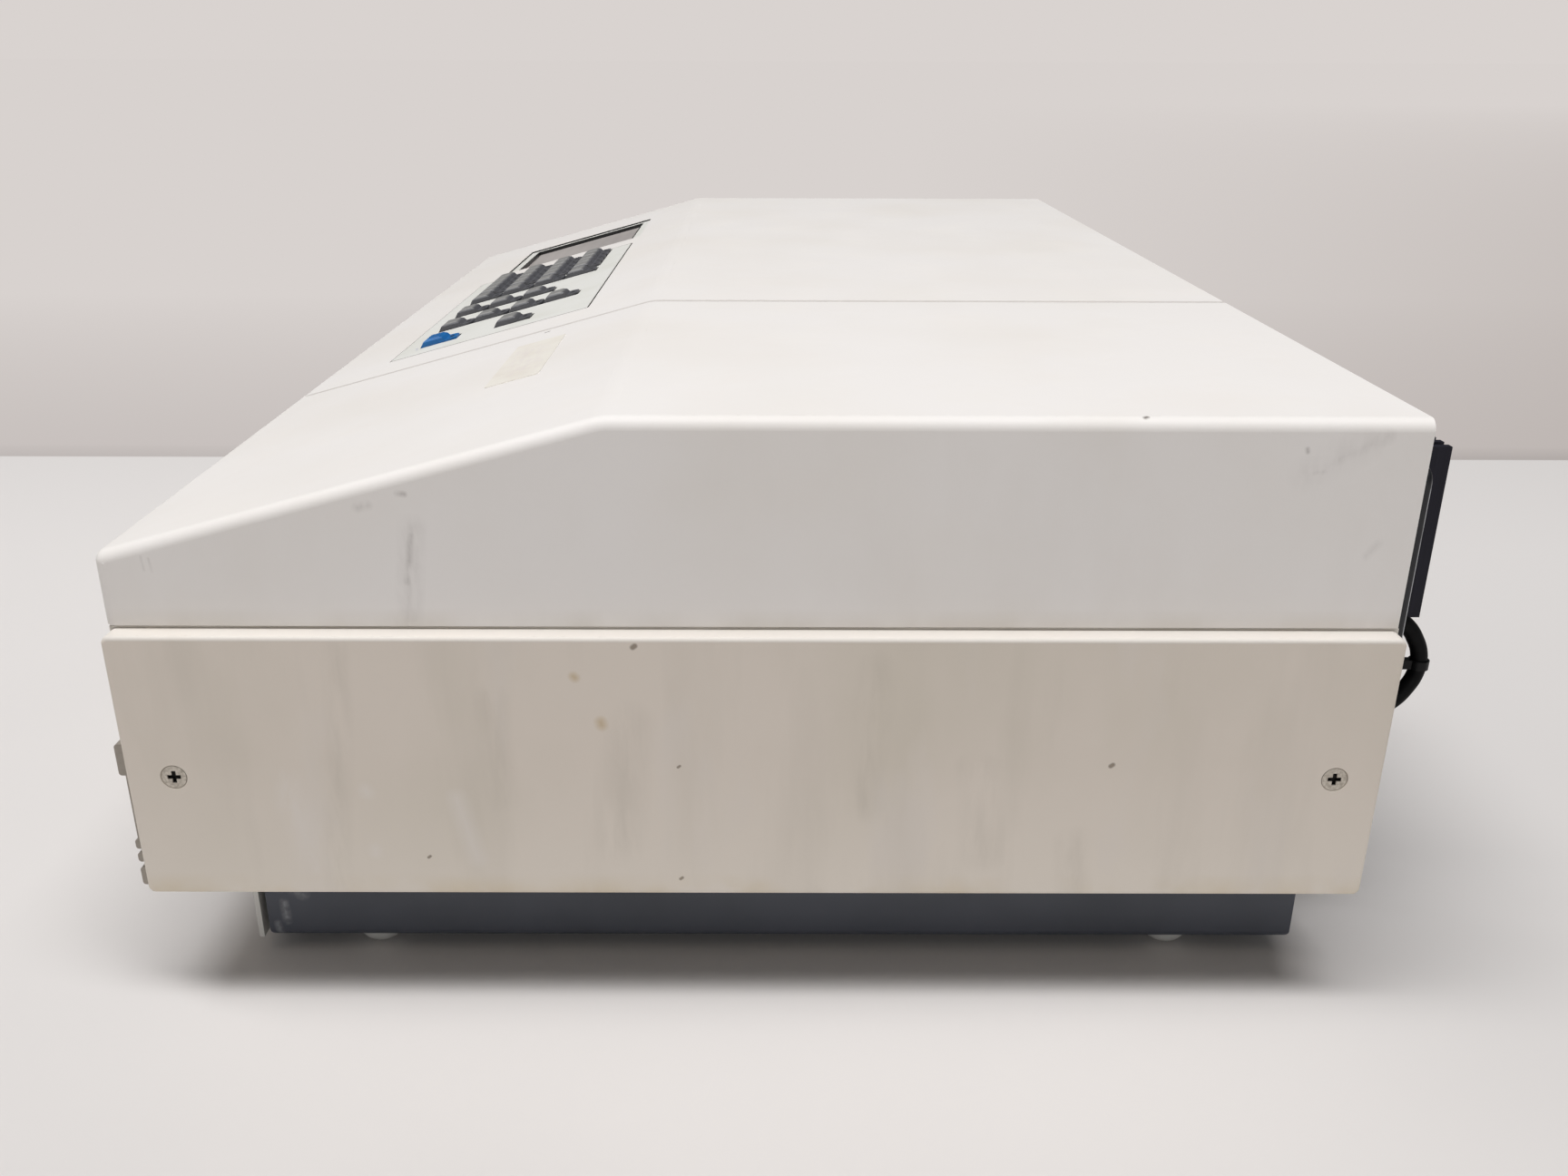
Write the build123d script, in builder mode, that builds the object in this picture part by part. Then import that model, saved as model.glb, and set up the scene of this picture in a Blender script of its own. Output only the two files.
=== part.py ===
from build123d import *
import os
from math import atan2, cos, degrees, radians, sin, tan

os.makedirs("parts", exist_ok=True)

# Overall sizes in millimetres: X to the user's right, Y to the rear, Z up from the table
overall_width = 510.0
side_length = 317.8
overall_height = 160.0
foot_height = 5.0

# Front fascia, rear panel and heat sink, which stand out of the body in front and behind
fascia_proud = 3.2
rear_pan_depth = 3.4
sink_depth = 24.2

# Side panels
panel_standout = 6.0
panel_wall = 2.6
panel_bottom = 33.3
panel_top = 106.6
panel_corner = 2.0
panel_edge = 1.0
panel_boss_radius = 5.5
side_screw_height = 67.9
front_screw_setback = 12.1
rear_screw_setback = 12.0
screw_head_radius = 3.15
screw_head_depth = 1.5
screw_shank_radius = 1.9
screw_length = 15.0
screw_clearance = 0.15
screw_head_gap = 0.3
screw_sink = 0.2
cross_recess_width = 1.1
cross_recess_span = 3.4
cross_recess_depth = 1.2

# Moulded base, which every other piece is fixed to
base_bottom = 36.0
base_wall = 3.5
base_boss_radius = 5.0
base_boss_length = 9.0

# Sheet steel tray under the base, its front strip and the feet
tray_inset = 20.0
tray_front_setback = 21.7
tray_rear_setback = 7.5
tray_wall = 1.5
tray_bend = 2.5
tray_slot_length = 46.0
tray_slot_width = 4.0
tray_slot_pitch = 12.0
tray_slot_count = 7
tray_slot_group_pitch = 220.0
plinth_thickness = 1.4
plinth_gap = 1.9
plinth_top_gap = 1.0
plinth_pad_radius = 4.0
foot_radius = 7.0
foot_tip_radius = 3.6
foot_side_inset = 29.0
foot_front_setback = 51.0
foot_rear_setback = 40.6

# Top covers: a low front wall, a slope and a flat top
seat_gap = 0.4
lid_gap = 0.4
cover_inset = 5.3
cover_rear_gap = 0.6
cover_wall = 3.0
front_wall_top = 126.2
slope_run = 123.0
slope_bend = 18.0
cover_edge = 3.0
cover_inner_edge = 1.0
cover_front_overhang = 1.0
seam_side_inset = 162.4
seam_gap = 1.2
seam_edge = 1.0
rear_flange_depth = 6.5
rear_wall_overlap = 12.0
lid_flange_depth = 12.0

# Lid hinge
hinge_drop = 7.0
hinge_setback = 5.0
hinge_side_insets = (137.0, 33.0)
hinge_pin_radius = 2.0
hinge_running_gap = 0.05
hinge_knuckle_radius = 3.6
hinge_ear_thickness = 4.0
hinge_lug_thickness = 4.0
hinge_side_gap = 0.4
hinge_ear_low = 19.0
hinge_notch_gap = 1.0

# Rear panel
rear_wall = 1.6
rear_panel_inset = 9.0
rear_panel_drop = 13.0
rear_panel_corner = 4.0
rear_panel_bend = 1.4
vent_length = 34.0
vent_column_pitch = 47.6
vent_width = 3.0
vent_pitch = 7.0
vent_count = 9
vent_x = -20.0
vent_z = 92.0

# Heat sink behind the lamps, with the shelf that carries them
sink_side_inset = 50.0
sink_fin_count = 24
sink_fin_pitch = 4.8
sink_fin_thickness = 2.4
sink_base = 5.0
sink_bottom = 91.5
sink_top = 141.0
shelf_width = 44.0
shelf_low = 112.0
shelf_high = 118.0
shelf_reach = 72.0
window_gap = 1.0

# Lamps, and the mirror that picks one of them
beam_height = 72.0
lamp_side_inset = 90.0
arc_lamp_setback = 29.7
filament_lamp_setback = 62.7
arc_bulb_radius = 12.5
arc_bulb_low = 60.0
arc_flange_radius = 15.0
arc_neck_radius = 5.5
filament_bulb_radius = 5.5
filament_bulb_low = 64.0
filament_flange_radius = 8.0
filament_neck_radius = 4.0
lamp_flange_height = 4.0
lamp_neck_height = 9.0
neck_gap = 0.2
mirror_side_inset = 40.0
source_line_setback = 49.7
mirror_post_radius = 8.0
mirror_post_top = 56.0
mirror_shaft_radius = 2.0
mirror_shaft_length = 13.0
mirror_hub_radius = 9.0
mirror_hub_height = 3.0
mirror_width = 26.0
mirror_height = 26.0
mirror_thickness = 4.0

# Sample compartment: a deck with a tub in front and a raised lamp cover behind
deck_seam_gap = 3.4
deck_top = 105.0
deck_thickness = 2.6
deck_gap = 0.4
tub_deck_margin = 2.0
tub_side_inset = 52.0
tub_front_setback = 11.1
tub_rear_setback = 84.7
tub_wall = 2.5
tub_corner = 6.0
beam_setback = 98.0
beam_hole_radius = 6.0
rail_width = 10.0
rail_height = 5.0
rail_end_gap = 3.0
lamp_cover_deck_margin = 8.0
lamp_cover_side_inset = 15.0
lamp_cover_tub_gap = 6.0
lamp_cover_rear_setback = 10.7
lamp_cover_top = 138.0
lamp_cover_corner = 8.0
cooling_slot_length = 48.0
cooling_slot_width = 4.0
cooling_slot_pitch = 10.0
cooling_slot_count = 5

# Cell carriage
cell_count = 5
cell_pitch = 20.0
carriage_end_margin = 2.0
cell_pocket = 12.7
cell_depth = 36.0
cell_lift = 15.0
carriage_width = 24.0
carriage_running_gap = 0.3
rail_running_gap = 0.15
cell_window_width = 6.0
cell_window_height = 20.0

# Detector housing
detector_width = 70.0
detector_reach = 36.0
detector_low = 54.0
detector_high = 97.0
detector_bore_radius = 5.0
detector_bore_depth = 12.0
detector_post_radius = 5.0
detector_edge = 3.0

# Monochromator: the casting, the grating on its turntable and the filter wheel
mono_board_gap = 6.0
mono_seam_gap = 18.6
mono_front_setback = 83.1
mono_rear_setback = 21.7
mono_top = 112.0
mono_wall = 4.0
mono_top_edge = 3.0
mono_corner = 10.0
slit_radius = 4.0
grating_offset = -2.0
grating_beam_distance = 79.5
grating_post_radius = 13.0
grating_post_height = 10.5
grating_shaft_radius = 4.0
grating_shaft_length = 8.0
grating_table_radius = 28.0
grating_table_height = 3.8
grating_width = 40.0
grating_thickness = 8.0
grating_height = 36.0
bearing_gap = 0.05
face_gap = 0.2
wheel_radius = 25.0
wheel_thickness = 4.0
wheel_ring_radius = 18.0
wheel_hole_radius = 4.5
wheel_hole_count = 6
wheel_hub_radius = 6.0
wheel_hub_length = 9.0
wheel_pin_radius = 2.0
wheel_pin_overhang = 1.5

# Electronics: main board, power supply, and the mains inlet with its rocker switch
board_supply_gap = 6.0
board_width = 90.0
board_front_setback = 20.0
board_lift = 10.5
board_thickness = 1.6
board_post_radius = 3.0
port_board_offsets = (29.0, 71.0)
port_width = (38.0, 16.5)
port_height = 8.4
port_flange_margin = 7.0
port_depth = 6.0
port_lift = 9.0
port_flange_height = 12.4
port_body_depth = 8.0
board_post_margin = 6.0
chip_width = 14.0
chip_length = 26.0
chip_height = 4.0
chip_pitch = (30.0, 34.0)
chip_setback = 30.0
supply_side_inset = 15.0
supply_width = 68.0
supply_length = 104.0
supply_rear_setback = 34.7
supply_plate = 2.5
transformer_height = 52.0
transformer_margin = 9.0
core_depth = 30.0
coil_width = 30.0
coil_overhang = 6.0
capacitor_radius = 9.0
capacitor_height = 34.0
inlet_side_inset = 49.0
inlet_z = 82.0
inlet_width = 27.0
inlet_height = 58.0
inlet_body_depth = 28.0
inlet_flange_margin = 2.5
inlet_flange = 2.5
inlet_flange_corner = 2.5
socket_width = 23.8
socket_height = 16.4
socket_depth = 17.0
socket_drop = 17.0
blade_width = 4.0
blade_thickness = 2.0
blade_length = 12.0
blade_pitch = 7.0
blade_offset = 3.0
drawer_height = 9.0
drawer_line = 1.0
drawer_rise = 2.0
drawer_depth = 1.2
rocker_rise = 19.0
rocker_radius = 9.3
rocker_width = 12.0
rocker_gap = 0.3
rocker_tilt = 8.0
rocker_pivot_depth = 3.0
rocker_crown = 2.2
rocker_pin_radius = 1.2
rocker_pin_overhang = 1.4

# Captive lead between the lamp house and the base, behind the rear panel
lead_side_inset = 42.0
lead_mid_z = 81.0
lead_rise = 15.0
lead_bend = 13.5
lead_radius = 2.25
lead_reach = 17.3
gland_radius = 5.0
gland_wall = 1.0
gland_length = 7.0
plug_width = 15.0
plug_height = 12.0
plug_corner = 2.0
tie_width = 2.6
tie_thickness = 0.5
tie_gap = 0.1
tie_tail = 4.0

# Key field and display, measured on the slope: across, and up from its front edge
keypad_seam_gap = 26.6
keypad_end_margin = 1.85
keypad_low = 25.5
keypad_high = 100.8
keypad_thickness = 1.8
keypad_sink = 0.1
keypad_gap = 0.8
keypad_seat_gap = 0.1
keypad_ledge = 1.2
keypad_corner = 1.0
key_width = 9.9
key_length = 14.0
key_pitch = 14.5
key_first = 33.8
key_rows = 4
function_key_insets = (18.5, 48.8, 79.2, 109.5)
function_key_rows = ((0, 2), (0, 1, 2, 3), (0, 1, 2), (0, 1, 2, 3))
pad_key_inset = 124.2
pad_key_pitch = 10.5
pad_key_columns = 5
key_hump_height = 2.4
key_hump_front = 2.3
key_hump_end = 8.6
key_hump_foot = 9.8
key_tab_height = 0.6
key_skirt = 2.6
key_tab_corner = 3.0
key_chamfer = 0.8
key_side_gap = 0.25
key_travel = 1.0
key_stop_gap = 0.05
board_drop = 6.0
switch_board_thickness = 1.6
switch_dome_radius = 3.5
switch_post_radius = 2.5
display_keypad_gap = 20.0
display_width = 76.0
display_low = 34.7
display_high = 103.0
display_ledge = 4.2
display_ledge_sink = 1.0
glass_sink = 2.4
glass_gap = 0.3
display_body_margin = 5.0
display_body_depth = 8.0

# Fascia profile, as heights above the table
fascia_side_inset = 3.0
fascia_low = 33.6
fascia_high = 75.6
fascia_back = 0.9
fascia_lip_height = 8.9
fascia_plate_proud = 1.6
fascia_rib_proud = 2.5
fascia_ribs = ((34.0, 39.3), (41.0, 43.7), (44.9, 47.8))
fascia_edge = 0.8

# Places that follow from the sizes above
half_width = overall_width / 2
total_depth = fascia_proud + side_length + rear_pan_depth + sink_depth
front_y = fascia_proud - total_depth / 2
rear_y = front_y + side_length
mid_y = (front_y + rear_y) / 2
base_half = half_width - panel_standout
base_floor = base_bottom + base_wall
cover_bottom = panel_top + seat_gap
base_rim = cover_bottom
lid_bottom = base_rim + lid_gap
cover_half = half_width - cover_inset
cover_rear = rear_y - cover_rear_gap
slope_rise = overall_height - front_wall_top
slope_angle = atan2(slope_rise, slope_run)
slope = Plane(
    origin=(0, front_y, front_wall_top),
    x_dir=(1, 0, 0),
    z_dir=(0, -sin(slope_angle), cos(slope_angle)),
)
hinge_y = rear_y - hinge_setback
hinge_z = overall_height - hinge_drop
rear_face = rear_y + rear_pan_depth
screw_ys = (front_y + front_screw_setback, rear_y - rear_screw_setback)
seam_x = half_width - seam_side_inset
hinge_x = [half_width - inset for inset in hinge_side_insets]
rear_panel_top = overall_height - rear_panel_drop
lamp_x = half_width - lamp_side_inset
arc_lamp_y = rear_y - arc_lamp_setback
filament_lamp_y = rear_y - filament_lamp_setback
mirror_x = half_width - mirror_side_inset
source_line_y = rear_y - source_line_setback
deck_left = seam_x + deck_seam_gap
tub_left = deck_left + tub_deck_margin
tub_right = half_width - tub_side_inset
tub_front = front_y + tub_front_setback
tub_rear = rear_y - tub_rear_setback
beam_y = tub_front + beam_setback
lamp_cover_left = deck_left + lamp_cover_deck_margin
lamp_cover_right = half_width - lamp_cover_side_inset
lamp_cover_front = tub_rear + lamp_cover_tub_gap
lamp_cover_rear = rear_y - lamp_cover_rear_setback
supply_left = supply_side_inset - half_width
supply_right = supply_left + supply_width
supply_rear = rear_y - supply_rear_setback
supply_front = supply_rear - supply_length
board_left = supply_right + board_supply_gap
board_right = board_left + board_width
port_x = [board_left + offset for offset in port_board_offsets]
mono_left = board_right + mono_board_gap
mono_right = seam_x - mono_seam_gap
mono_front = front_y + mono_front_setback
mono_rear = rear_y - mono_rear_setback
grating_x = (mono_left + mono_right) / 2 + grating_offset
grating_y = beam_y + grating_beam_distance
inlet_x = inlet_side_inset - half_width
lead_x = half_width - lead_side_inset
keypad_right = seam_x - keypad_seam_gap
function_key_x = [keypad_right - inset for inset in function_key_insets]
pad_key_first_x = keypad_right - pad_key_inset
pad_key_last_x = pad_key_first_x - (pad_key_columns - 1) * pad_key_pitch
keypad_left = pad_key_last_x - key_width / 2 - keypad_end_margin
display_right = keypad_left - display_keypad_gap
display_left = display_right - display_width


# Base: one moulding, open at the top and at the rear
with BuildPart() as base_frame:
    with BuildSketch(Plane.XY.offset(base_bottom)):
        with Locations((0, mid_y)):
            Rectangle(2 * base_half, side_length)
    extrude(amount=base_rim - base_bottom)
    offset(
        amount=-base_wall,
        openings=[base_frame.faces().sort_by(Axis.Z)[-1], base_frame.faces().sort_by(Axis.Y)[-1]],
    )
    for side in (-1, 1):
        with BuildSketch(Plane.YZ.offset(side * (base_half - base_wall / 2))):
            with Locations(*[(y, side_screw_height) for y in screw_ys]):
                Circle(base_boss_radius)
        extrude(amount=-side * (base_boss_length + base_wall / 2))
        with BuildSketch(Plane.YZ.offset(side * base_half)):
            with Locations(*[(y, side_screw_height) for y in screw_ys]):
                Circle(screw_shank_radius)
        extrude(amount=-side * (base_boss_length + base_wall), mode=Mode.SUBTRACT)
    with BuildSketch(Plane.XY.offset(base_floor - base_wall / 2)):
        with Locations((mirror_x, source_line_y)):
            Circle(mirror_post_radius)
    extrude(amount=mirror_post_top - base_floor + base_wall / 2)
    with BuildSketch(Plane.XY.offset(mirror_post_top)):
        with Locations((mirror_x, source_line_y)):
            Circle(mirror_shaft_radius + bearing_gap)
    extrude(amount=-mirror_shaft_length - face_gap, mode=Mode.SUBTRACT)
    with BuildSketch(Plane.XY.offset(base_floor - base_wall / 2)):
        with Locations((grating_x, grating_y)):
            Circle(grating_post_radius)
    extrude(amount=grating_post_height + base_wall / 2)
    with BuildSketch(Plane.XY.offset(base_floor + grating_post_height)):
        with Locations((grating_x, grating_y)):
            Circle(grating_shaft_radius + bearing_gap)
    extrude(amount=-grating_shaft_length - face_gap, mode=Mode.SUBTRACT)

base_frame.part.label = "base_frame"
export_step(base_frame.part, "parts/base_frame.step")


# Tray: folded sheet steel with two groups of cooling slots in its floor
tray_half = half_width - tray_inset
tray_front = front_y + tray_front_setback
tray_rear = rear_y - tray_rear_setback
tray_mid_y = (tray_front + tray_rear) / 2
with BuildPart() as chassis_tray:
    with BuildSketch(Plane.XY.offset(foot_height)):
        with Locations((0, tray_mid_y)):
            Rectangle(2 * tray_half, tray_rear - tray_front)
    extrude(amount=base_bottom - foot_height)
    fillet(chassis_tray.faces().sort_by(Axis.Z)[0].edges(), radius=tray_bend)
    offset(amount=-tray_wall, openings=chassis_tray.faces().sort_by(Axis.Z)[-1])
    with BuildSketch(Plane.XY.offset(foot_height)):
        with Locations((-tray_slot_group_pitch / 2, tray_mid_y), (tray_slot_group_pitch / 2, tray_mid_y)):
            with GridLocations(0, tray_slot_pitch, 1, tray_slot_count):
                SlotOverall(tray_slot_length, tray_slot_width)
    extrude(amount=tray_wall, mode=Mode.SUBTRACT)

chassis_tray.part.label = "chassis_tray"
export_step(chassis_tray.part, "parts/chassis_tray.step")


# Front strip: a thin plate held off the tray by four pads
with BuildPart() as front_plinth:
    with BuildSketch(Plane.XZ.offset(-tray_front + plinth_gap)):
        with Locations((0, (foot_height + base_bottom - plinth_top_gap) / 2)):
            Rectangle(2 * tray_half, base_bottom - plinth_top_gap - foot_height)
    extrude(amount=plinth_thickness)
    with BuildSketch(Plane.XZ.offset(-tray_front)):
        with Locations((0, (foot_height + base_bottom) / 2)):
            with GridLocations(tray_half / 2, 0, 4, 1):
                Circle(plinth_pad_radius)
    extrude(amount=plinth_gap)

front_plinth.part.label = "front_plinth"
export_step(front_plinth.part, "parts/front_plinth.step")


# Feet: four soft domes under the tray
foot_y = (front_y + foot_front_setback, rear_y - foot_rear_setback)
foot_x = half_width - foot_side_inset
with BuildPart() as one_foot:
    with BuildSketch(Plane.XZ):
        with BuildLine():
            Line((0, foot_height), (foot_radius, foot_height))
            RadiusArc((foot_radius, foot_height), (foot_tip_radius, 0), foot_height * 1.3)
            Line((foot_tip_radius, 0), (0, 0))
            Line((0, 0), (0, foot_height))
        make_face()
    revolve(axis=Axis.Z)
with BuildPart() as feet:
    with Locations(*[(x, y, 0) for x in (-foot_x, foot_x) for y in foot_y]):
        add(one_foot.part)

feet.part.label = "feet"
export_step(feet.part, "parts/feet.step")


# Fascia: a strip across the front with a finger lip, a flat face and three ribs
fascia_half = half_width - fascia_side_inset
with BuildPart() as front_fascia:
    with BuildSketch(Plane.YZ.offset(-fascia_half)):
        with Locations((front_y - fascia_back / 2, (fascia_low + fascia_high) / 2)):
            Rectangle(fascia_back, fascia_high - fascia_low)
        with Locations((front_y - fascia_proud / 2, fascia_high - fascia_lip_height / 2)):
            Rectangle(fascia_proud, fascia_lip_height)
        with Locations((front_y - fascia_plate_proud / 2, (fascia_ribs[-1][1] + fascia_high) / 2)):
            Rectangle(fascia_plate_proud, fascia_high - fascia_ribs[-1][1])
        for low, high in fascia_ribs:
            with Locations((front_y - fascia_rib_proud / 2, (low + high) / 2)):
                Rectangle(fascia_rib_proud, high - low)
    extrude(amount=2 * fascia_half)
    lip_edges = front_fascia.edges().filter_by(Axis.X).filter_by_position(
        Axis.Y, front_y - fascia_proud, front_y - fascia_proud
    )
    rib_edges = front_fascia.edges().filter_by(Axis.X).filter_by_position(
        Axis.Y, front_y - fascia_rib_proud, front_y - fascia_rib_proud
    )
    fillet(lip_edges + rib_edges, radius=fascia_edge)

front_fascia.part.label = "front_fascia"
export_step(front_fascia.part, "parts/front_fascia.step")


# Side panels: shallow mouldings, screwed to the base at two bosses each
panel_mid_z = (panel_bottom + panel_top) / 2
with BuildPart() as right_side_panel:
    with BuildSketch(Plane.YZ.offset(base_half)):
        with Locations((mid_y, panel_mid_z)):
            RectangleRounded(side_length, panel_top - panel_bottom, panel_corner)
    extrude(amount=panel_standout)
    fillet(right_side_panel.faces().sort_by(Axis.X)[-1].edges(), radius=panel_edge)
    offset(amount=-panel_wall, openings=right_side_panel.faces().sort_by(Axis.X)[0])
    with BuildSketch(Plane.YZ.offset(base_half)):
        with Locations(*[(y, side_screw_height) for y in screw_ys]):
            Circle(panel_boss_radius)
    extrude(amount=panel_standout - panel_wall / 2)
    with Locations(*[
        Plane(origin=(half_width, y, side_screw_height), x_dir=(0, 1, 0), z_dir=(1, 0, 0)) for y in screw_ys
    ]):
        CounterSinkHole(screw_shank_radius + screw_clearance, screw_head_radius + screw_head_gap)

right_side_panel.part.label = "right_side_panel"
export_step(right_side_panel.part, "parts/right_side_panel.step")

with BuildPart() as left_side_panel:
    add(mirror(right_side_panel.part, about=Plane.YZ, mode=Mode.PRIVATE))

left_side_panel.part.label = "left_side_panel"
export_step(left_side_panel.part, "parts/left_side_panel.step")


# Side panel screws: four countersunk cross-head screws
with BuildPart() as one_screw:
    Cone(
        bottom_radius=screw_head_radius - screw_head_depth * tan(radians(41)),
        top_radius=screw_head_radius,
        height=screw_head_depth,
        align=(Align.CENTER, Align.CENTER, Align.MAX),
    )
    Cylinder(screw_shank_radius, screw_length, align=(Align.CENTER, Align.CENTER, Align.MAX))
    with BuildSketch(Plane.XY):
        Rectangle(cross_recess_span, cross_recess_width)
        Rectangle(cross_recess_width, cross_recess_span)
    extrude(amount=-cross_recess_depth, mode=Mode.SUBTRACT)
screw_seats = [
    Plane(
        origin=(side * (half_width - screw_sink), y, side_screw_height),
        x_dir=(0, 1, 0),
        z_dir=(side, 0, 0),
    )
    for side in (-1, 1)
    for y in screw_ys
]
with BuildPart() as side_panel_screws:
    with Locations(*screw_seats):
        add(one_screw.part)

side_panel_screws.part.label = "side_panel_screws"
export_step(side_panel_screws.part, "parts/side_panel_screws.step")


# Rear panel: a shallow folded pan with the connector cut-outs and the two hinge ears
port_z = base_floor + board_lift + board_thickness + port_lift
sink_right = half_width - sink_side_inset
sink_width = (sink_fin_count - 1) * sink_fin_pitch + sink_fin_thickness
sink_mid_x = sink_right - sink_width / 2
pan_half = half_width - rear_panel_inset
lead_top_z = lead_mid_z + lead_rise
lead_low_z = lead_mid_z - lead_rise
with BuildPart() as rear_panel:
    with BuildSketch(Plane.XZ.offset(-rear_y)):
        with Locations((0, (base_bottom + rear_panel_top) / 2)):
            Rectangle(2 * pan_half, rear_panel_top - base_bottom)
    extrude(amount=-rear_pan_depth)
    fillet(rear_panel.edges().filter_by(Axis.Y).group_by(Axis.Z)[-1], radius=rear_panel_corner)
    fillet(rear_panel.faces().sort_by(Axis.Y)[-1].edges(), radius=rear_panel_bend)
    offset(amount=-rear_wall, openings=rear_panel.faces().sort_by(Axis.Y)[0])
    with BuildSketch(Plane.XZ.offset(-rear_face)):
        with Locations((lamp_x, (shelf_low + shelf_high) / 2)):
            Rectangle(shelf_width + 2 * window_gap, shelf_high - shelf_low + 2 * window_gap)
        with Locations((inlet_x, inlet_z)):
            Rectangle(inlet_width + 2 * glass_gap, inlet_height + 2 * glass_gap)
        for x, width in zip(port_x, port_width):
            with Locations((x, port_z)):
                Rectangle(width + 2 * glass_gap, port_height + 2 * glass_gap)
        with Locations((vent_x, vent_z)):
            with GridLocations(vent_column_pitch, vent_pitch, 2, vent_count):
                SlotOverall(vent_length, vent_width)
        with Locations((lead_x, lead_top_z)):
            Circle(gland_radius - gland_wall)
    extrude(amount=rear_wall, mode=Mode.SUBTRACT)
    for x in hinge_x:
        with BuildSketch(Plane.YZ.offset(x - hinge_ear_thickness / 2)):
            with BuildLine():
                Polyline(
                    (hinge_y - hinge_knuckle_radius, hinge_z),
                    (hinge_y - hinge_knuckle_radius, hinge_z - hinge_ear_low),
                    (rear_face - rear_wall / 2, hinge_z - hinge_ear_low),
                    (rear_face - rear_wall / 2, rear_panel_top - rear_wall / 2),
                    (hinge_y + hinge_knuckle_radius, rear_panel_top - rear_wall / 2),
                    (hinge_y + hinge_knuckle_radius, hinge_z),
                    close=True,
                )
            make_face()
            with Locations((hinge_y, hinge_z)):
                Circle(hinge_knuckle_radius)
                Circle(hinge_pin_radius, mode=Mode.SUBTRACT)
        extrude(amount=hinge_ear_thickness)

rear_panel.part.label = "rear_panel"
export_step(rear_panel.part, "parts/rear_panel.step")


# Hinge pins: pressed into the ears, and running in the lugs of the lid
with BuildPart() as hinge_pins:
    for x in hinge_x:
        with BuildSketch(Plane.YZ.offset(x - hinge_ear_thickness / 2)):
            with Locations((hinge_y, hinge_z)):
                Circle(hinge_pin_radius)
        extrude(amount=hinge_ear_thickness + hinge_side_gap + hinge_lug_thickness)

hinge_pins.part.label = "hinge_pins"
export_step(hinge_pins.part, "parts/hinge_pins.step")


def hood(left_x, right_x, bottom_z, inset, edge_radius, side):
    """The outline of the covers, drawn in by an inset, rounded on one side and along the brow."""
    bend_y = front_y + slope_run
    brow_y = front_y - cover_front_overhang
    brow_z = front_wall_top - cover_front_overhang * tan(slope_angle)
    with BuildPart() as body:
        with BuildSketch(Plane.YZ.offset(left_x)) as outline:
            with BuildLine():
                Polyline(
                    (brow_y, bottom_z),
                    (brow_y, brow_z),
                    (bend_y, overall_height),
                    (cover_rear, overall_height),
                    (cover_rear, bottom_z),
                    close=True,
                )
            make_face()
            fillet(outline.vertices().group_by(Axis.Y)[-1].sort_by(Axis.X)[0], radius=slope_bend)
            if inset:
                offset(amount=-inset)
        extrude(amount=right_x - left_x)
        side_face = body.faces().filter_by(Axis.X).sort_by(Axis.X)[-1 if side > 0 else 0]
        low_edge = side_face.edges().filter_by(Axis.Y).sort_by(Axis.Z)[0]
        rear_edge = side_face.edges().filter_by(Axis.Z).sort_by(Axis.Y)[-1]
        rounded = [e for e in side_face.edges() if e not in (low_edge, rear_edge)]
        brow = body.edges().filter_by(Axis.X).sort_by_distance((left_x, brow_y, brow_z))[0]
        fillet(rounded + [brow], radius=edge_radius)
    return body.part


# Sample lid: the hinged hood over the sample compartment
lid_left = seam_x + seam_gap / 2
lid_shell = hood(lid_left, cover_half, lid_bottom, 0, cover_edge, 1)
lid_hollow = hood(
    lid_left + cover_wall, cover_half - cover_wall, lid_bottom - 2 * cover_wall, cover_wall, cover_inner_edge, 1
)
with BuildPart() as sample_lid:
    add(lid_shell)
    left_face = sample_lid.faces().filter_by(Axis.X).sort_by(Axis.X)[0]
    fillet([e for e in left_face.edges() if e.center().Z > front_wall_top], radius=seam_edge)
    add(lid_hollow, mode=Mode.SUBTRACT)
    with BuildSketch(Plane.XZ.offset(-cover_rear)):
        with Locations((lid_left + (cover_half - lid_left - cover_wall) / 2, lid_bottom)):
            Rectangle(
                cover_half - lid_left - cover_wall,
                overall_height - rear_flange_depth - lid_bottom,
                align=(Align.CENTER, Align.MIN),
            )
        with Locations(*[(x, lid_bottom) for x in hinge_x]):
            Rectangle(
                hinge_ear_thickness + 2 * hinge_notch_gap,
                overall_height - cover_wall - lid_bottom,
                align=(Align.CENTER, Align.MIN),
            )
    extrude(amount=cover_wall, mode=Mode.SUBTRACT)
    with BuildSketch(Plane.YZ.offset(lid_left)):
        with BuildLine():
            Polyline(
                (front_y - cover_front_overhang + cover_wall, lid_bottom),
                (front_y - cover_front_overhang + cover_wall, front_wall_top - lid_flange_depth),
                (front_y + slope_run, overall_height - lid_flange_depth),
                (cover_rear, overall_height - lid_flange_depth),
                (cover_rear, lid_bottom),
                close=True,
            )
        make_face()
    extrude(amount=cover_wall, mode=Mode.SUBTRACT)
    for x in hinge_x:
        with BuildSketch(Plane.YZ.offset(x + hinge_ear_thickness / 2 + hinge_side_gap)):
            with Locations((hinge_y, hinge_z)):
                Rectangle(
                    2 * hinge_knuckle_radius,
                    hinge_drop - cover_wall / 2,
                    align=(Align.CENTER, Align.MIN),
                )
                Circle(hinge_knuckle_radius)
        extrude(amount=hinge_lug_thickness)
        with BuildSketch(Plane.YZ.offset(x)):
            with Locations((hinge_y, hinge_z)):
                Circle(hinge_pin_radius + hinge_running_gap)
        extrude(amount=hinge_ear_thickness / 2 + hinge_side_gap + hinge_lug_thickness, mode=Mode.SUBTRACT)

sample_lid.part.label = "sample_lid"
export_step(sample_lid.part, "parts/sample_lid.step")


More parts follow.
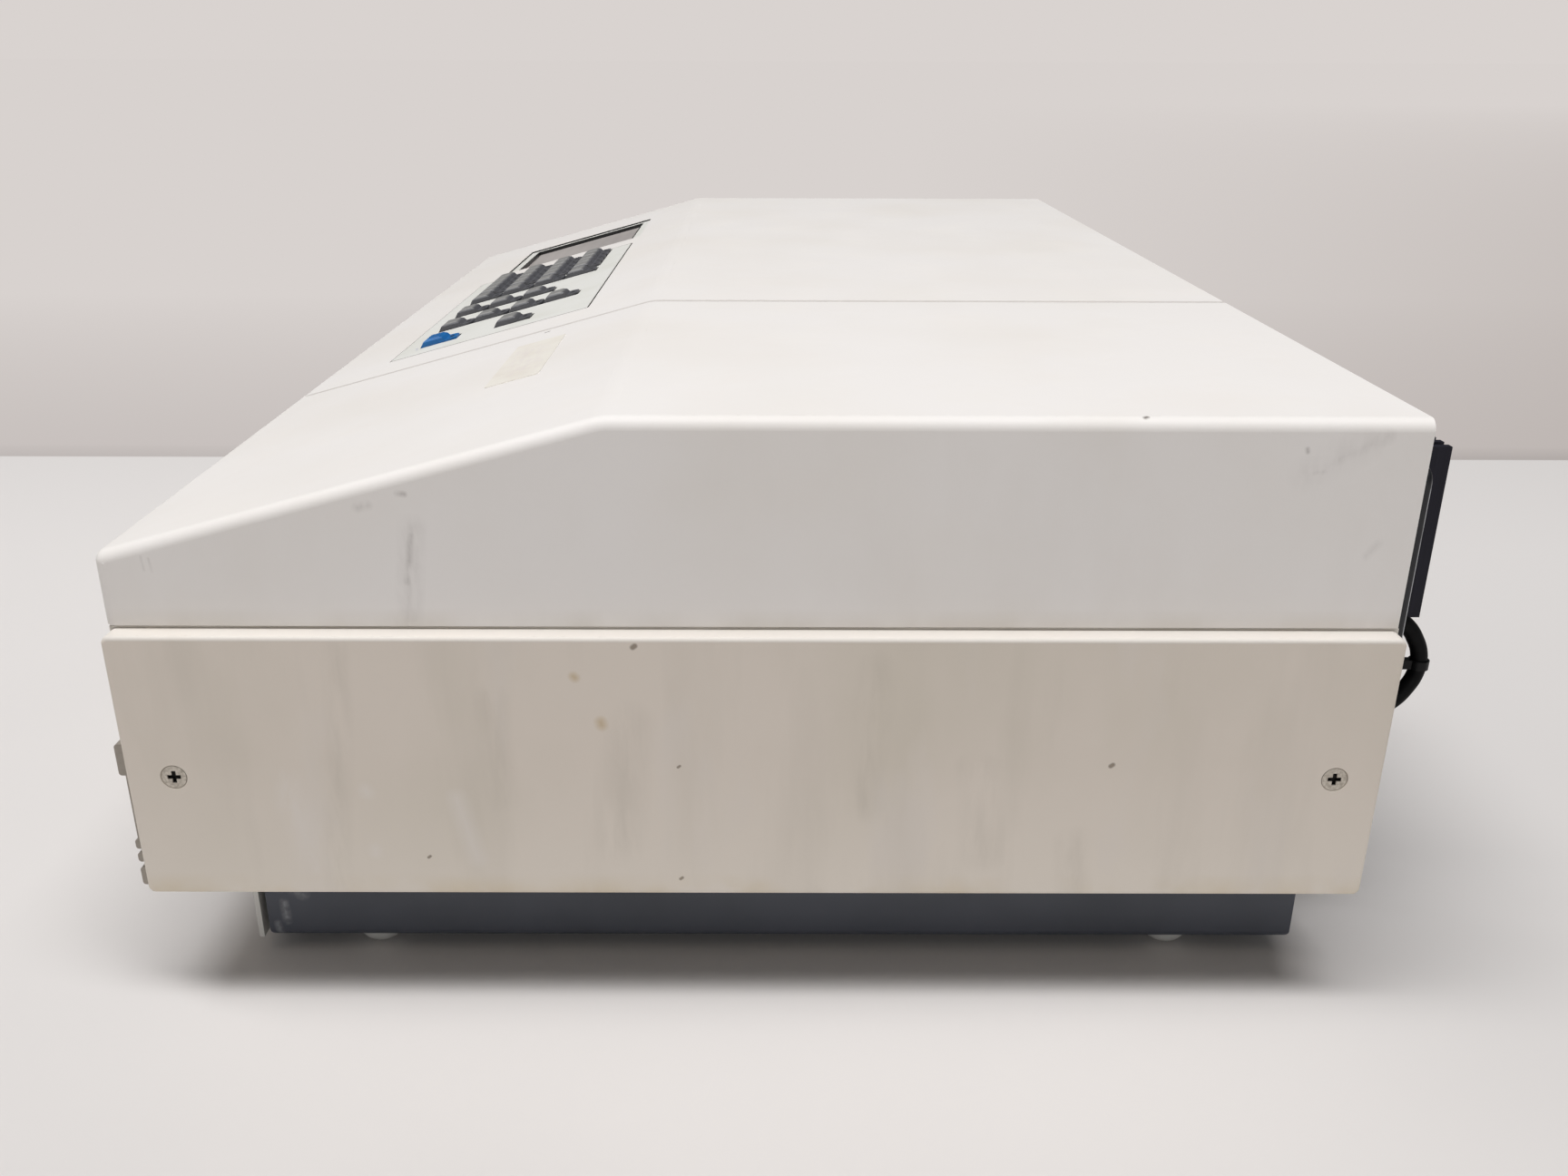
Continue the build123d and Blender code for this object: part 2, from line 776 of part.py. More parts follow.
# Main cover: the fixed hood, with the opening for the keys and the window for the display
cover_right = seam_x - seam_gap / 2
keypad_mid = ((keypad_left + keypad_right) / 2, (keypad_low + keypad_high) / 2)
keypad_size = (keypad_right - keypad_left, keypad_high - keypad_low)
display_mid = ((display_left + display_right) / 2, (display_low + display_high) / 2)
display_size = (display_right - display_left, display_high - display_low)
window_size = (display_size[0] - 2 * display_ledge, display_size[1] - 2 * display_ledge)
cover_shell = hood(-cover_half, cover_right, cover_bottom, 0, cover_edge, -1)
cover_hollow = hood(
    cover_wall - cover_half, cover_right - cover_wall, cover_bottom - 2 * cover_wall, cover_wall, cover_inner_edge, -1
)
with BuildPart() as main_cover:
    add(cover_shell)
    right_face = main_cover.faces().filter_by(Axis.X).sort_by(Axis.X)[-1]
    fillet([e for e in right_face.edges() if e.center().Z > front_wall_top], radius=seam_edge)
    add(cover_hollow, mode=Mode.SUBTRACT)
    with BuildSketch(Plane.XZ.offset(-cover_rear)):
        with Locations(((cover_right - cover_half) / 2, cover_bottom)):
            Rectangle(
                cover_right + cover_half - 2 * cover_wall,
                rear_panel_top - rear_wall_overlap - cover_bottom,
                align=(Align.CENTER, Align.MIN),
            )
    extrude(amount=cover_wall, mode=Mode.SUBTRACT)
    with BuildSketch(slope):
        with Locations((keypad_left - keypad_seat_gap, keypad_low - keypad_seat_gap)):
            Rectangle(
                keypad_size[0] + keypad_seat_gap + keypad_gap,
                keypad_size[1] + keypad_seat_gap + keypad_gap,
                align=(Align.MIN, Align.MIN),
            )
    extrude(amount=-keypad_thickness - keypad_sink, mode=Mode.SUBTRACT)
    with BuildSketch(slope):
        with Locations(keypad_mid):
            Rectangle(keypad_size[0] - 2 * keypad_ledge, keypad_size[1] - 2 * keypad_ledge)
        with Locations(display_mid):
            Rectangle(*window_size)
    extrude(amount=-2 * cover_wall, mode=Mode.SUBTRACT)
    with BuildSketch(slope):
        with Locations(display_mid):
            Rectangle(*display_size)
    extrude(amount=-display_ledge_sink, mode=Mode.SUBTRACT)

main_cover.part.label = "main_cover"
export_step(main_cover.part, "parts/main_cover.step")


# Keypad plate: let into the slope, with one opening for each run of keys
key_depth = key_first + key_length / 2
function_keys = [
    (x, key_depth + row * key_pitch) for x, rows in zip(function_key_x, function_key_rows) for row in rows
]
pad_keys = [
    (pad_key_first_x - column * pad_key_pitch, key_depth + row * key_pitch)
    for column in range(pad_key_columns)
    for row in range(key_rows)
]
run_gap = 2 * key_side_gap
plate_under = slope.offset(-keypad_sink - keypad_thickness)
with BuildPart() as keypad_plate:
    with BuildSketch(plate_under):
        with Locations(keypad_mid):
            RectangleRounded(*keypad_size, keypad_corner)
        with Locations(*function_keys):
            Rectangle(key_width + run_gap, key_length + run_gap, mode=Mode.SUBTRACT)
        with Locations((
            pad_key_first_x - (pad_key_columns - 1) * pad_key_pitch / 2,
            key_depth + (key_rows - 1) * key_pitch / 2,
        )):
            Rectangle(
                (pad_key_columns - 1) * pad_key_pitch + key_width + run_gap,
                (key_rows - 1) * key_pitch + key_length + run_gap,
                mode=Mode.SUBTRACT,
            )
    extrude(amount=keypad_thickness)
    with BuildSketch(plate_under):
        with Locations(*[
            (x, keypad_high - keypad_ledge - 2 * switch_post_radius)
            for x in (keypad_left + 3 * switch_post_radius, 0, keypad_right - 3 * switch_post_radius)
        ]):
            Circle(switch_post_radius)
        with Locations(*[
            (x, keypad_low + keypad_ledge + switch_post_radius)
            for x in (keypad_left + 3 * switch_post_radius, 0, keypad_right - 3 * switch_post_radius)
        ]):
            Circle(switch_post_radius)
    extrude(amount=-board_drop + keypad_thickness + keypad_sink)

keypad_plate.part.label = "keypad_plate"
export_step(keypad_plate.part, "parts/keypad_plate.step")


# Key board: a circuit board with one rubber switch dome under each key
dome_height = board_drop - key_skirt - key_travel - key_stop_gap
with BuildPart() as key_board:
    with BuildSketch(slope.offset(-board_drop)):
        with Locations(keypad_mid):
            Rectangle(
                keypad_size[0] - 2 * keypad_ledge - 2 * keypad_gap,
                keypad_size[1] - 2 * keypad_ledge - 2 * keypad_gap,
            )
    extrude(amount=-switch_board_thickness)
    with BuildSketch(slope.offset(-board_drop)):
        with Locations(*(function_keys + pad_keys)):
            Circle(switch_dome_radius)
    extrude(amount=dome_height)

key_board.part.label = "key_board"
export_step(key_board.part, "parts/key_board.step")


# Display: a module held under the cover, with its glass raised into the window
with BuildPart() as display_module:
    with BuildSketch(slope.offset(-cover_wall)):
        with Locations(display_mid):
            Rectangle(window_size[0] + 2 * display_body_margin, window_size[1] + 2 * display_body_margin)
    extrude(amount=-display_body_depth)
    with BuildSketch(slope.offset(-cover_wall)):
        with Locations(display_mid):
            Rectangle(window_size[0] - 2 * glass_gap, window_size[1] - 2 * glass_gap)
    extrude(amount=cover_wall - glass_sink)

display_module.part.label = "display_module"
export_step(display_module.part, "parts/display_module.step")


# Keys: a sloped hump in front and a low tab behind it, standing on a skirt in the plate
with BuildPart() as one_key:
    with BuildSketch(Plane.YZ.offset(-key_width / 2)):
        with BuildLine():
            Polyline(
                (-key_length / 2, -key_skirt),
                (-key_length / 2, 0),
                (-key_length / 2 + key_hump_front, key_hump_height),
                (-key_length / 2 + key_hump_end, key_hump_height),
                (-key_length / 2 + key_hump_foot, key_tab_height),
                (key_length / 2, key_tab_height),
                (key_length / 2, -key_skirt),
                close=True,
            )
        make_face()
    extrude(amount=key_width)
    tab_corners = one_key.edges().filter_by(Axis.Z).group_by(Axis.Y)[-1]
    fillet(tab_corners, radius=key_tab_corner)
    hump_top = one_key.faces().filter_by(Axis.Z).sort_by(Axis.Z)[-1]
    chamfer(hump_top.edges(), length=key_chamfer)


def key_at(place):
    """One key, set on the slope at its place across and up."""
    seat = Plane(origin=slope.from_local_coords((place[0], place[1], 0)), x_dir=slope.x_dir, z_dir=slope.z_dir)
    with BuildPart() as key:
        with Locations(seat):
            add(one_key.part)
    return key.part


start_key = key_at(function_keys[0])
start_key.label = "start_key"
export_step(start_key, "parts/start_key.step")

for number, place in enumerate(function_keys[1:], start=1):
    function_key = key_at(place)
    function_key.label = f"function_key_{number}"
    export_step(function_key, f"parts/function_key_{number}.step")

# The last column of the number pad is one group, so that the part stays within its number of nodes
single_pad_keys = pad_keys[:-key_rows]
for number, place in enumerate(single_pad_keys, start=1):
    pad_key = key_at(place)
    pad_key.label = f"pad_key_{number}"
    export_step(pad_key, f"parts/pad_key_{number}.step")

with BuildPart() as pad_key_column:
    for place in pad_keys[-key_rows:]:
        add(key_at(place))

pad_key_column.part.label = "pad_key_column"
export_step(pad_key_column.part, "parts/pad_key_column.step")


# Sample compartment: deck, tub with the carriage rail, and the raised lamp cover
deck_right = base_half - base_wall - deck_gap
deck_front = front_y + base_wall + deck_gap
deck_rear = rear_y - deck_gap
tub_mid = ((tub_left + tub_right) / 2, (tub_front + tub_rear) / 2)
tub_floor = base_floor + tub_wall
lamp_cover_mid = ((lamp_cover_left + lamp_cover_right) / 2, (lamp_cover_front + lamp_cover_rear) / 2)
lamp_cover_size = (lamp_cover_right - lamp_cover_left, lamp_cover_rear - lamp_cover_front)
beam_line = Plane(origin=(tub_left, beam_y, beam_height), x_dir=(0, 1, 0), z_dir=(1, 0, 0))
with BuildPart() as sample_tub:
    with BuildSketch(Plane.XY.offset(deck_top - deck_thickness)):
        with Locations(((deck_left + deck_right) / 2, (deck_front + deck_rear) / 2)):
            Rectangle(deck_right - deck_left, deck_rear - deck_front)
    extrude(amount=deck_thickness)
    with BuildSketch(Plane.XY.offset(base_floor)):
        with Locations(tub_mid):
            RectangleRounded(tub_right - tub_left, tub_rear - tub_front, tub_corner + tub_wall)
    extrude(amount=deck_top - base_floor)
    with BuildSketch(Plane.XY.offset(deck_top - deck_thickness)):
        with Locations(lamp_cover_mid):
            RectangleRounded(*lamp_cover_size, lamp_cover_corner)
    extrude(amount=lamp_cover_top - deck_top + deck_thickness)
    fillet(sample_tub.faces().filter_by(Axis.Z).sort_by(Axis.Z)[-1].edges(), radius=tub_wall)
    with BuildSketch(Plane.XY.offset(deck_top - deck_thickness)):
        with Locations(lamp_cover_mid):
            RectangleRounded(
                lamp_cover_size[0] - 2 * tub_wall,
                lamp_cover_size[1] - 2 * tub_wall,
                lamp_cover_corner - tub_wall,
            )
    extrude(amount=lamp_cover_top - tub_wall - deck_top + deck_thickness, mode=Mode.SUBTRACT)
    with BuildSketch(Plane.XY.offset(tub_floor)):
        with Locations(tub_mid):
            RectangleRounded(
                tub_right - tub_left - 2 * tub_wall, tub_rear - tub_front - 2 * tub_wall, tub_corner
            )
    extrude(amount=deck_top - tub_floor, mode=Mode.SUBTRACT)
    with BuildSketch(Plane.XY.offset(tub_floor - tub_wall / 2)):
        with Locations(tub_mid):
            Rectangle(rail_width, tub_rear - tub_front - 2 * tub_wall - 2 * rail_end_gap)
    extrude(amount=rail_height + tub_wall / 2)
    with BuildSketch(beam_line):
        Circle(beam_hole_radius)
    extrude(amount=tub_right - tub_left, mode=Mode.SUBTRACT)
    with BuildSketch(Plane.XY.offset(lamp_cover_top)):
        with Locations(lamp_cover_mid):
            with GridLocations(lamp_cover_size[0] / 2, cooling_slot_pitch, 2, cooling_slot_count):
                SlotOverall(cooling_slot_length, cooling_slot_width)
    extrude(amount=-tub_wall, mode=Mode.SUBTRACT)
    with BuildSketch(Plane.XZ.offset(-lamp_cover_rear)):
        with Locations((lamp_x, (shelf_low + shelf_high) / 2)):
            Rectangle(shelf_width + 2 * window_gap, shelf_high - shelf_low + 2 * window_gap)
    extrude(amount=tub_wall, mode=Mode.SUBTRACT)

sample_tub.part.label = "sample_tub"
export_step(sample_tub.part, "parts/sample_tub.step")


# Cell carriage: a block with five square pockets, riding on the rail of the tub
carriage_length = cell_count * cell_pitch + 2 * carriage_end_margin
pocket_floor = beam_height - cell_lift
carriage_bottom = tub_floor + carriage_running_gap
carriage_top = pocket_floor + cell_depth
with BuildPart() as cell_carriage:
    with BuildSketch(Plane.XY.offset(carriage_bottom)):
        with Locations((tub_mid[0], beam_y)):
            Rectangle(carriage_width, carriage_length)
            Rectangle(rail_width + 2 * rail_running_gap, carriage_length, mode=Mode.SUBTRACT)
    extrude(amount=rail_height - carriage_running_gap + rail_running_gap)
    with BuildSketch(Plane.XY.offset(tub_floor + rail_height + rail_running_gap)):
        with Locations((tub_mid[0], beam_y)):
            Rectangle(carriage_width, carriage_length)
    extrude(amount=carriage_top - tub_floor - rail_height - rail_running_gap)
    with BuildSketch(Plane.XY.offset(pocket_floor)):
        with Locations((tub_mid[0], beam_y)):
            with GridLocations(0, cell_pitch, 1, cell_count):
                Rectangle(cell_pocket, cell_pocket)
    extrude(amount=cell_depth, mode=Mode.SUBTRACT)
    with BuildSketch(Plane.YZ.offset(tub_mid[0] - carriage_width / 2)):
        with Locations((beam_y, beam_height)):
            with GridLocations(cell_pitch, 0, cell_count, 1):
                Rectangle(cell_window_width, cell_window_height)
    extrude(amount=carriage_width, mode=Mode.SUBTRACT)

cell_carriage.part.label = "cell_carriage"
export_step(cell_carriage.part, "parts/cell_carriage.step")


# Heat sink: an upright finned extrusion behind the rear panel, with the lamp shelf in front of it
lamp_places = ((lamp_x, arc_lamp_y), (lamp_x, filament_lamp_y))
with BuildPart() as heat_sink:
    with BuildSketch(Plane.XY.offset(sink_bottom)):
        with Locations((sink_mid_x, rear_face)):
            Rectangle(sink_width, sink_base, align=(Align.CENTER, Align.MIN))
        with Locations((sink_mid_x, rear_face + sink_depth / 2)):
            with GridLocations(sink_fin_pitch, 0, sink_fin_count, 1):
                Rectangle(sink_fin_thickness, sink_depth)
    extrude(amount=sink_top - sink_bottom)
    with BuildSketch(Plane.XY.offset(shelf_low)):
        with Locations((lamp_x, rear_face + sink_base / 2)):
            Rectangle(shelf_width, shelf_reach, align=(Align.CENTER, Align.MAX))
        with Locations(lamp_places[0]):
            Circle(arc_neck_radius + neck_gap, mode=Mode.SUBTRACT)
        with Locations(lamp_places[1]):
            Circle(filament_neck_radius + neck_gap, mode=Mode.SUBTRACT)
    extrude(amount=shelf_high - shelf_low)

heat_sink.part.label = "heat_sink"
export_step(heat_sink.part, "parts/heat_sink.step")


# Lamps: the arc lamp and the small filament lamp, hung from the shelf by their necks
lamp_sizes = (
    (arc_bulb_radius, arc_bulb_low, arc_flange_radius, arc_neck_radius),
    (filament_bulb_radius, filament_bulb_low, filament_flange_radius, filament_neck_radius),
)
with BuildPart() as lamps:
    for place, (bulb, low, flange, neck) in zip(lamp_places, lamp_sizes):
        with BuildSketch(Plane.XY.offset(shelf_low - lamp_flange_height)):
            with Locations(place):
                Circle(flange)
        extrude(amount=lamp_flange_height)
        with BuildSketch(Plane.XY.offset(shelf_low)):
            with Locations(place):
                Circle(neck)
        extrude(amount=lamp_neck_height)
        with BuildSketch(Plane.XY.offset(low + bulb)):
            with Locations(place):
                Circle(bulb)
        extrude(amount=shelf_low - lamp_flange_height - low - bulb)
        with Locations((*place, low + bulb)):
            Sphere(bulb)

lamps.part.label = "lamps"
export_step(lamps.part, "parts/lamps.step")


# Source mirror: a small mirror on a turning hub, aimed half-way towards the arc lamp at rest
arc_angle = degrees(atan2(arc_lamp_y - source_line_y, mirror_x - lamp_x)) / 2
mirror_foot = Plane(
    origin=(mirror_x, source_line_y, mirror_post_top + face_gap),
    x_dir=(cos(radians(arc_angle)), -sin(radians(arc_angle)), 0),
    z_dir=(0, 0, 1),
)
with BuildPart() as source_mirror:
    with BuildSketch(mirror_foot):
        Circle(mirror_hub_radius)
    extrude(amount=mirror_hub_height)
    with BuildSketch(mirror_foot):
        Circle(mirror_shaft_radius)
    extrude(amount=-mirror_shaft_length)
    with BuildSketch(mirror_foot.offset(mirror_hub_height)):
        Rectangle(mirror_thickness, mirror_width)
    extrude(amount=mirror_height)

source_mirror.part.label = "source_mirror"
export_step(source_mirror.part, "parts/source_mirror.step")


# Monochromator housing: a casting open below, standing on the floor of the base
mono_mid = ((mono_left + mono_right) / 2, (mono_front + mono_rear) / 2)
mono_size = (mono_right - mono_left, mono_rear - mono_front)
wheel_y = source_line_y - wheel_ring_radius
slit_side = Plane(origin=(mono_right, 0, 0), x_dir=(0, 1, 0), z_dir=(1, 0, 0))
with BuildPart() as monochromator_housing:
    with BuildSketch(Plane.XY.offset(base_floor)):
        with Locations(mono_mid):
            RectangleRounded(*mono_size, mono_corner)
    extrude(amount=mono_top - base_floor)
    fillet(monochromator_housing.faces().sort_by(Axis.Z)[-1].edges(), radius=mono_top_edge)
    offset(amount=-mono_wall, openings=monochromator_housing.faces().sort_by(Axis.Z)[0])
    with BuildSketch(slit_side):
        with Locations((source_line_y, beam_height), (beam_y, beam_height)):
            Circle(slit_radius)
    extrude(amount=-2 * mono_wall, mode=Mode.SUBTRACT)
    with BuildSketch(slit_side.offset(-mono_wall / 2)):
        with Locations((wheel_y, beam_height)):
            Circle(wheel_pin_radius)
    extrude(amount=mono_wall / 2 + 2 * face_gap + wheel_hub_length + wheel_pin_overhang)

monochromator_housing.part.label = "monochromator_housing"
export_step(monochromator_housing.part, "parts/monochromator_housing.step")


# Filter wheel: six filters on a disc in front of the entrance slit
wheel_face = slit_side.offset(face_gap)
with BuildPart() as filter_wheel:
    with BuildSketch(wheel_face):
        with Locations((wheel_y, beam_height)):
            Circle(wheel_hub_radius)
            Circle(wheel_pin_radius + bearing_gap, mode=Mode.SUBTRACT)
    extrude(amount=wheel_hub_length)
    with BuildSketch(wheel_face.offset((wheel_hub_length - wheel_thickness) / 2)):
        with Locations((wheel_y, beam_height)):
            Circle(wheel_radius)
            Circle(wheel_pin_radius + bearing_gap, mode=Mode.SUBTRACT)
            with PolarLocations(wheel_ring_radius, wheel_hole_count):
                Circle(wheel_hole_radius, mode=Mode.SUBTRACT)
    extrude(amount=wheel_thickness)

filter_wheel.part.label = "filter_wheel"
export_step(filter_wheel.part, "parts/filter_wheel.step")


# Grating turntable: the ruled grating stands on a table that turns in the base
table_foot = Plane.XY.offset(base_floor + grating_post_height + face_gap)
with BuildPart() as grating_turntable:
    with BuildSketch(table_foot):
        with Locations((grating_x, grating_y)):
            Circle(grating_table_radius)
    extrude(amount=grating_table_height)
    with BuildSketch(table_foot):
        with Locations((grating_x, grating_y)):
            Circle(grating_shaft_radius)
    extrude(amount=-grating_shaft_length)
    with BuildSketch(table_foot.offset(grating_table_height)):
        with Locations((grating_x, grating_y)):
            Rectangle(grating_thickness, grating_width)
    extrude(amount=grating_height)

grating_turntable.part.label = "grating_turntable"
export_step(grating_turntable.part, "parts/grating_turntable.step")


# Detector housing: against the tub's right wall, on two posts
with BuildPart() as detector_housing:
    with BuildSketch(Plane.XY.offset(detector_low)):
        with Locations((tub_right, beam_y)):
            Rectangle(detector_reach, detector_width, align=(Align.MIN, Align.CENTER))
    extrude(amount=detector_high - detector_low)
    fillet(detector_housing.edges().filter_by(Axis.Z).group_by(Axis.X)[-1], radius=detector_edge)
    with BuildSketch(Plane.XY.offset(base_floor)):
        with Locations((tub_right + detector_reach / 2, beam_y)):
            with GridLocations(0, detector_width / 2, 1, 2):
                Circle(detector_post_radius)
    extrude(amount=detector_low - base_floor)
    with BuildSketch(beam_line.offset(tub_right - tub_left)):
        Circle(detector_bore_radius)
    extrude(amount=detector_bore_depth, mode=Mode.SUBTRACT)

detector_housing.part.label = "detector_housing"
export_step(detector_housing.part, "parts/detector_housing.step")


# Main board: on posts, with its chips and the two ports that pass through the rear panel
board_front = front_y + board_front_setback
board_rear = rear_face - rear_wall - glass_gap
board_mid = ((board_left + board_right) / 2, (board_front + board_rear) / 2)
board_bottom = base_floor + board_lift
with BuildPart() as main_board:
    with BuildSketch(Plane.XY.offset(board_bottom)):
        with Locations(board_mid):
            Rectangle(board_right - board_left, board_rear - board_front)
    extrude(amount=board_thickness)
    with BuildSketch(Plane.XY.offset(base_floor)):
        with Locations(board_mid):
            with GridLocations(board_width - 2 * board_post_margin, (board_rear - board_front) / 2 - 2 * board_post_margin, 2, 3):
                Circle(board_post_radius)
    extrude(amount=board_lift)
    with BuildSketch(Plane.XY.offset(board_bottom + board_thickness)):
        with Locations((board_mid[0], board_mid[1] - chip_setback)):
            with GridLocations(*chip_pitch, 2, 5):
                Rectangle(chip_width, chip_length)
    extrude(amount=chip_height)
    for x, width in zip(port_x, port_width):
        with BuildSketch(Plane.XZ.offset(-rear_face + rear_wall + glass_gap)):
            with Locations((x, port_z)):
                Rectangle(width + 2 * port_flange_margin, port_flange_height)
        extrude(amount=port_body_depth)
        with BuildSketch(Plane.XZ.offset(-rear_face + rear_wall + glass_gap)):
            with Locations((x, port_z)):
                Trapezoid(width, port_height, 80, rotation=180)
        extrude(amount=-rear_wall - glass_gap - port_depth)
        with BuildSketch(Plane.XY.offset(board_bottom)):
            with Locations((x, board_rear - port_body_depth / 2)):
                Rectangle(width, port_body_depth)
        extrude(amount=port_lift)

main_board.part.label = "main_board"
export_step(main_board.part, "parts/main_board.step")


# Power supply: a mounting plate with the transformer and its capacitors
supply_mid = ((supply_left + supply_right) / 2, (supply_front + supply_rear) / 2)
core_size = supply_right - supply_left - 2 * transformer_margin
core_y = supply_front + transformer_margin + core_size / 2
with BuildPart() as power_supply:
    with BuildSketch(Plane.XY.offset(base_floor)):
        with Locations(supply_mid):
            Rectangle(supply_right - supply_left, supply_rear - supply_front)
    extrude(amount=supply_plate)
    with BuildSketch(Plane.XY.offset(base_floor + supply_plate)):
        with Locations((supply_mid[0], core_y)):
            Rectangle(core_size, core_depth)
    extrude(amount=transformer_height)
    with BuildSketch(Plane.XY.offset(base_floor + supply_plate + coil_overhang)):
        with Locations((supply_mid[0], core_y)):
            RectangleRounded(coil_width, core_depth + 2 * coil_overhang, coil_overhang)
    extrude(amount=transformer_height - 2 * coil_overhang)
    with BuildSketch(Plane.XY.offset(base_floor + supply_plate)):
        with Locations((supply_mid[0], supply_rear - transformer_margin - capacitor_radius)):
            with GridLocations(3 * capacitor_radius, 0, 2, 1):
                Circle(capacitor_radius)
    extrude(amount=capacitor_height)

power_supply.part.label = "power_supply"
export_step(power_supply.part, "parts/power_supply.step")


# Mains inlet: one module with the rocker's opening, the fuse drawer and the three-blade socket
outlet_face = rear_face + inlet_flange
rocker_z = inlet_z + rocker_rise
socket_z = inlet_z - socket_drop
rocker_pivot_y = outlet_face - rocker_pivot_depth
with BuildPart() as mains_inlet:
    with BuildSketch(Plane.XZ.offset(-rear_face)):
        with Locations((inlet_x, inlet_z)):
            RectangleRounded(
                inlet_width + 2 * inlet_flange_margin,
                inlet_height + 2 * inlet_flange_margin,
                inlet_flange_corner,
            )
    extrude(amount=-inlet_flange)
    with BuildSketch(Plane.XZ.offset(-rear_face)):
        with Locations((inlet_x, inlet_z)):
            Rectangle(inlet_width, inlet_height)
    extrude(amount=inlet_body_depth)
    with BuildSketch(Plane.XZ.offset(-outlet_face)):
        with Locations((inlet_x, socket_z)):
            Rectangle(socket_width, socket_height)
    extrude(amount=socket_depth, mode=Mode.SUBTRACT)
    with BuildSketch(Plane.XZ.offset(-outlet_face + socket_depth)):
        with Locations((inlet_x, socket_z + blade_offset)):
            Rectangle(blade_thickness, blade_width)
        with Locations((inlet_x, socket_z - blade_offset)):
            with GridLocations(2 * blade_pitch, 0, 2, 1):
                Rectangle(blade_thickness, blade_width)
    extrude(amount=-blade_length)
    with BuildSketch(Plane.XZ.offset(-outlet_face)):
        with Locations((inlet_x, inlet_z + drawer_rise)):
            Rectangle(socket_width, drawer_height)
            Rectangle(socket_width - 2 * drawer_line, drawer_height - 2 * drawer_line, mode=Mode.SUBTRACT)
    extrude(amount=drawer_depth, mode=Mode.SUBTRACT)
    with BuildSketch(Plane.XZ.offset(-outlet_face)):
        with Locations((inlet_x, rocker_z)):
            Rectangle(2 * (rocker_radius + rocker_gap), rocker_width + 2 * rocker_gap)
    extrude(amount=rocker_pivot_depth + rocker_radius + rocker_gap, mode=Mode.SUBTRACT)
    with BuildSketch(Plane.XY.offset(rocker_z - rocker_width / 2 - rocker_gap - rocker_pin_overhang)):
        with Locations((inlet_x, rocker_pivot_y)):
            Circle(rocker_pin_radius + bearing_gap)
    extrude(amount=rocker_width + 2 * rocker_gap + 2 * rocker_pin_overhang, mode=Mode.SUBTRACT)

mains_inlet.part.label = "mains_inlet"
export_step(mains_inlet.part, "parts/mains_inlet.step")


# Power switch: the rocker, tipped to its off side at rest, on two small pins
rocker_seat = Plane(
    origin=(inlet_x, rocker_pivot_y, rocker_z - rocker_width / 2),
    x_dir=(cos(radians(rocker_tilt)), sin(radians(rocker_tilt)), 0),
    z_dir=(0, 0, 1),
)
crown_rise = rocker_radius * tan(radians(rocker_tilt))
with BuildPart() as power_switch:
    with BuildSketch(rocker_seat):
        Circle(rocker_radius)
        with BuildLine():
            Polyline(
                (-2 * rocker_radius, rocker_crown + 2 * crown_rise),
                (0, rocker_crown),
                (2 * rocker_radius, rocker_crown + 2 * crown_rise),
                (2 * rocker_radius, 2 * rocker_radius),
                (-2 * rocker_radius, 2 * rocker_radius),
                close=True,
            )
        make_face(mode=Mode.SUBTRACT)
    extrude(amount=rocker_width)
    with BuildSketch(rocker_seat.offset(-rocker_gap - rocker_pin_overhang + face_gap)):
        Circle(rocker_pin_radius)
    extrude(amount=rocker_width + 2 * (rocker_gap + rocker_pin_overhang - face_gap))

power_switch.part.label = "power_switch"
export_step(power_switch.part, "parts/power_switch.step")


# Captive lead: a loop of round cable from the lamp house gland to the plug below it
lead_y = rear_face + gland_length
lead_plane = Plane(origin=(lead_x, 0, 0), x_dir=(0, 1, 0), z_dir=(1, 0, 0))
lead_corners = (
    (lead_y, lead_top_z),
    (lead_y + lead_reach / 2, lead_top_z),
    (lead_y + lead_reach, lead_mid_z),
    (lead_y + lead_reach / 2, lead_low_z),
    (lead_y, lead_low_z),
)
lead_bends = [lead_bend] * (len(lead_corners) - 2)
with BuildPart() as jumper_lead:
    with BuildLine(lead_plane) as lead_route:
        FilletPolyline(*lead_corners, radius=lead_bends)
    with BuildSketch(Plane(origin=lead_route.line @ 0, z_dir=lead_route.line % 0)):
        Circle(lead_radius)
    sweep(path=lead_route.line)

jumper_lead.part.label = "jumper_lead"
export_step(jumper_lead.part, "parts/jumper_lead.step")


# Lead fittings: the gland, the plug hood and the cable tie round the loop
tie_y = lead_y + lead_reach - (lead_bends[1] / cos(radians(30)) - lead_bends[1])
with BuildPart() as lead_fittings:
    with BuildSketch(Plane.XZ.offset(-rear_face)):
        with Locations((lead_x, lead_top_z)):
            Circle(gland_radius)
    extrude(amount=-gland_length, taper=8)
    with BuildSketch(Plane.XZ.offset(-rear_face)):
        with Locations((lead_x, lead_low_z)):
            RectangleRounded(plug_width, plug_height, plug_corner)
    extrude(amount=-gland_length, taper=10)
    with BuildSketch(Plane.XY.offset(lead_mid_z - tie_width / 2)):
        with Locations((lead_x, tie_y)):
            Circle(lead_radius + tie_thickness)
        with Locations((lead_x, tie_y - lead_radius - tie_tail / 2)):
            Rectangle(tie_width, tie_tail)
        with Locations((lead_x, tie_y)):
            Circle(lead_radius + tie_gap, mode=Mode.SUBTRACT)
    extrude(amount=tie_width)

lead_fittings.part.label = "lead_fittings"
export_step(lead_fittings.part, "parts/lead_fittings.step")
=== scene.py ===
from math import cos, pi, radians, sin

import bmesh
import bpy
from mathutils import Matrix, Vector


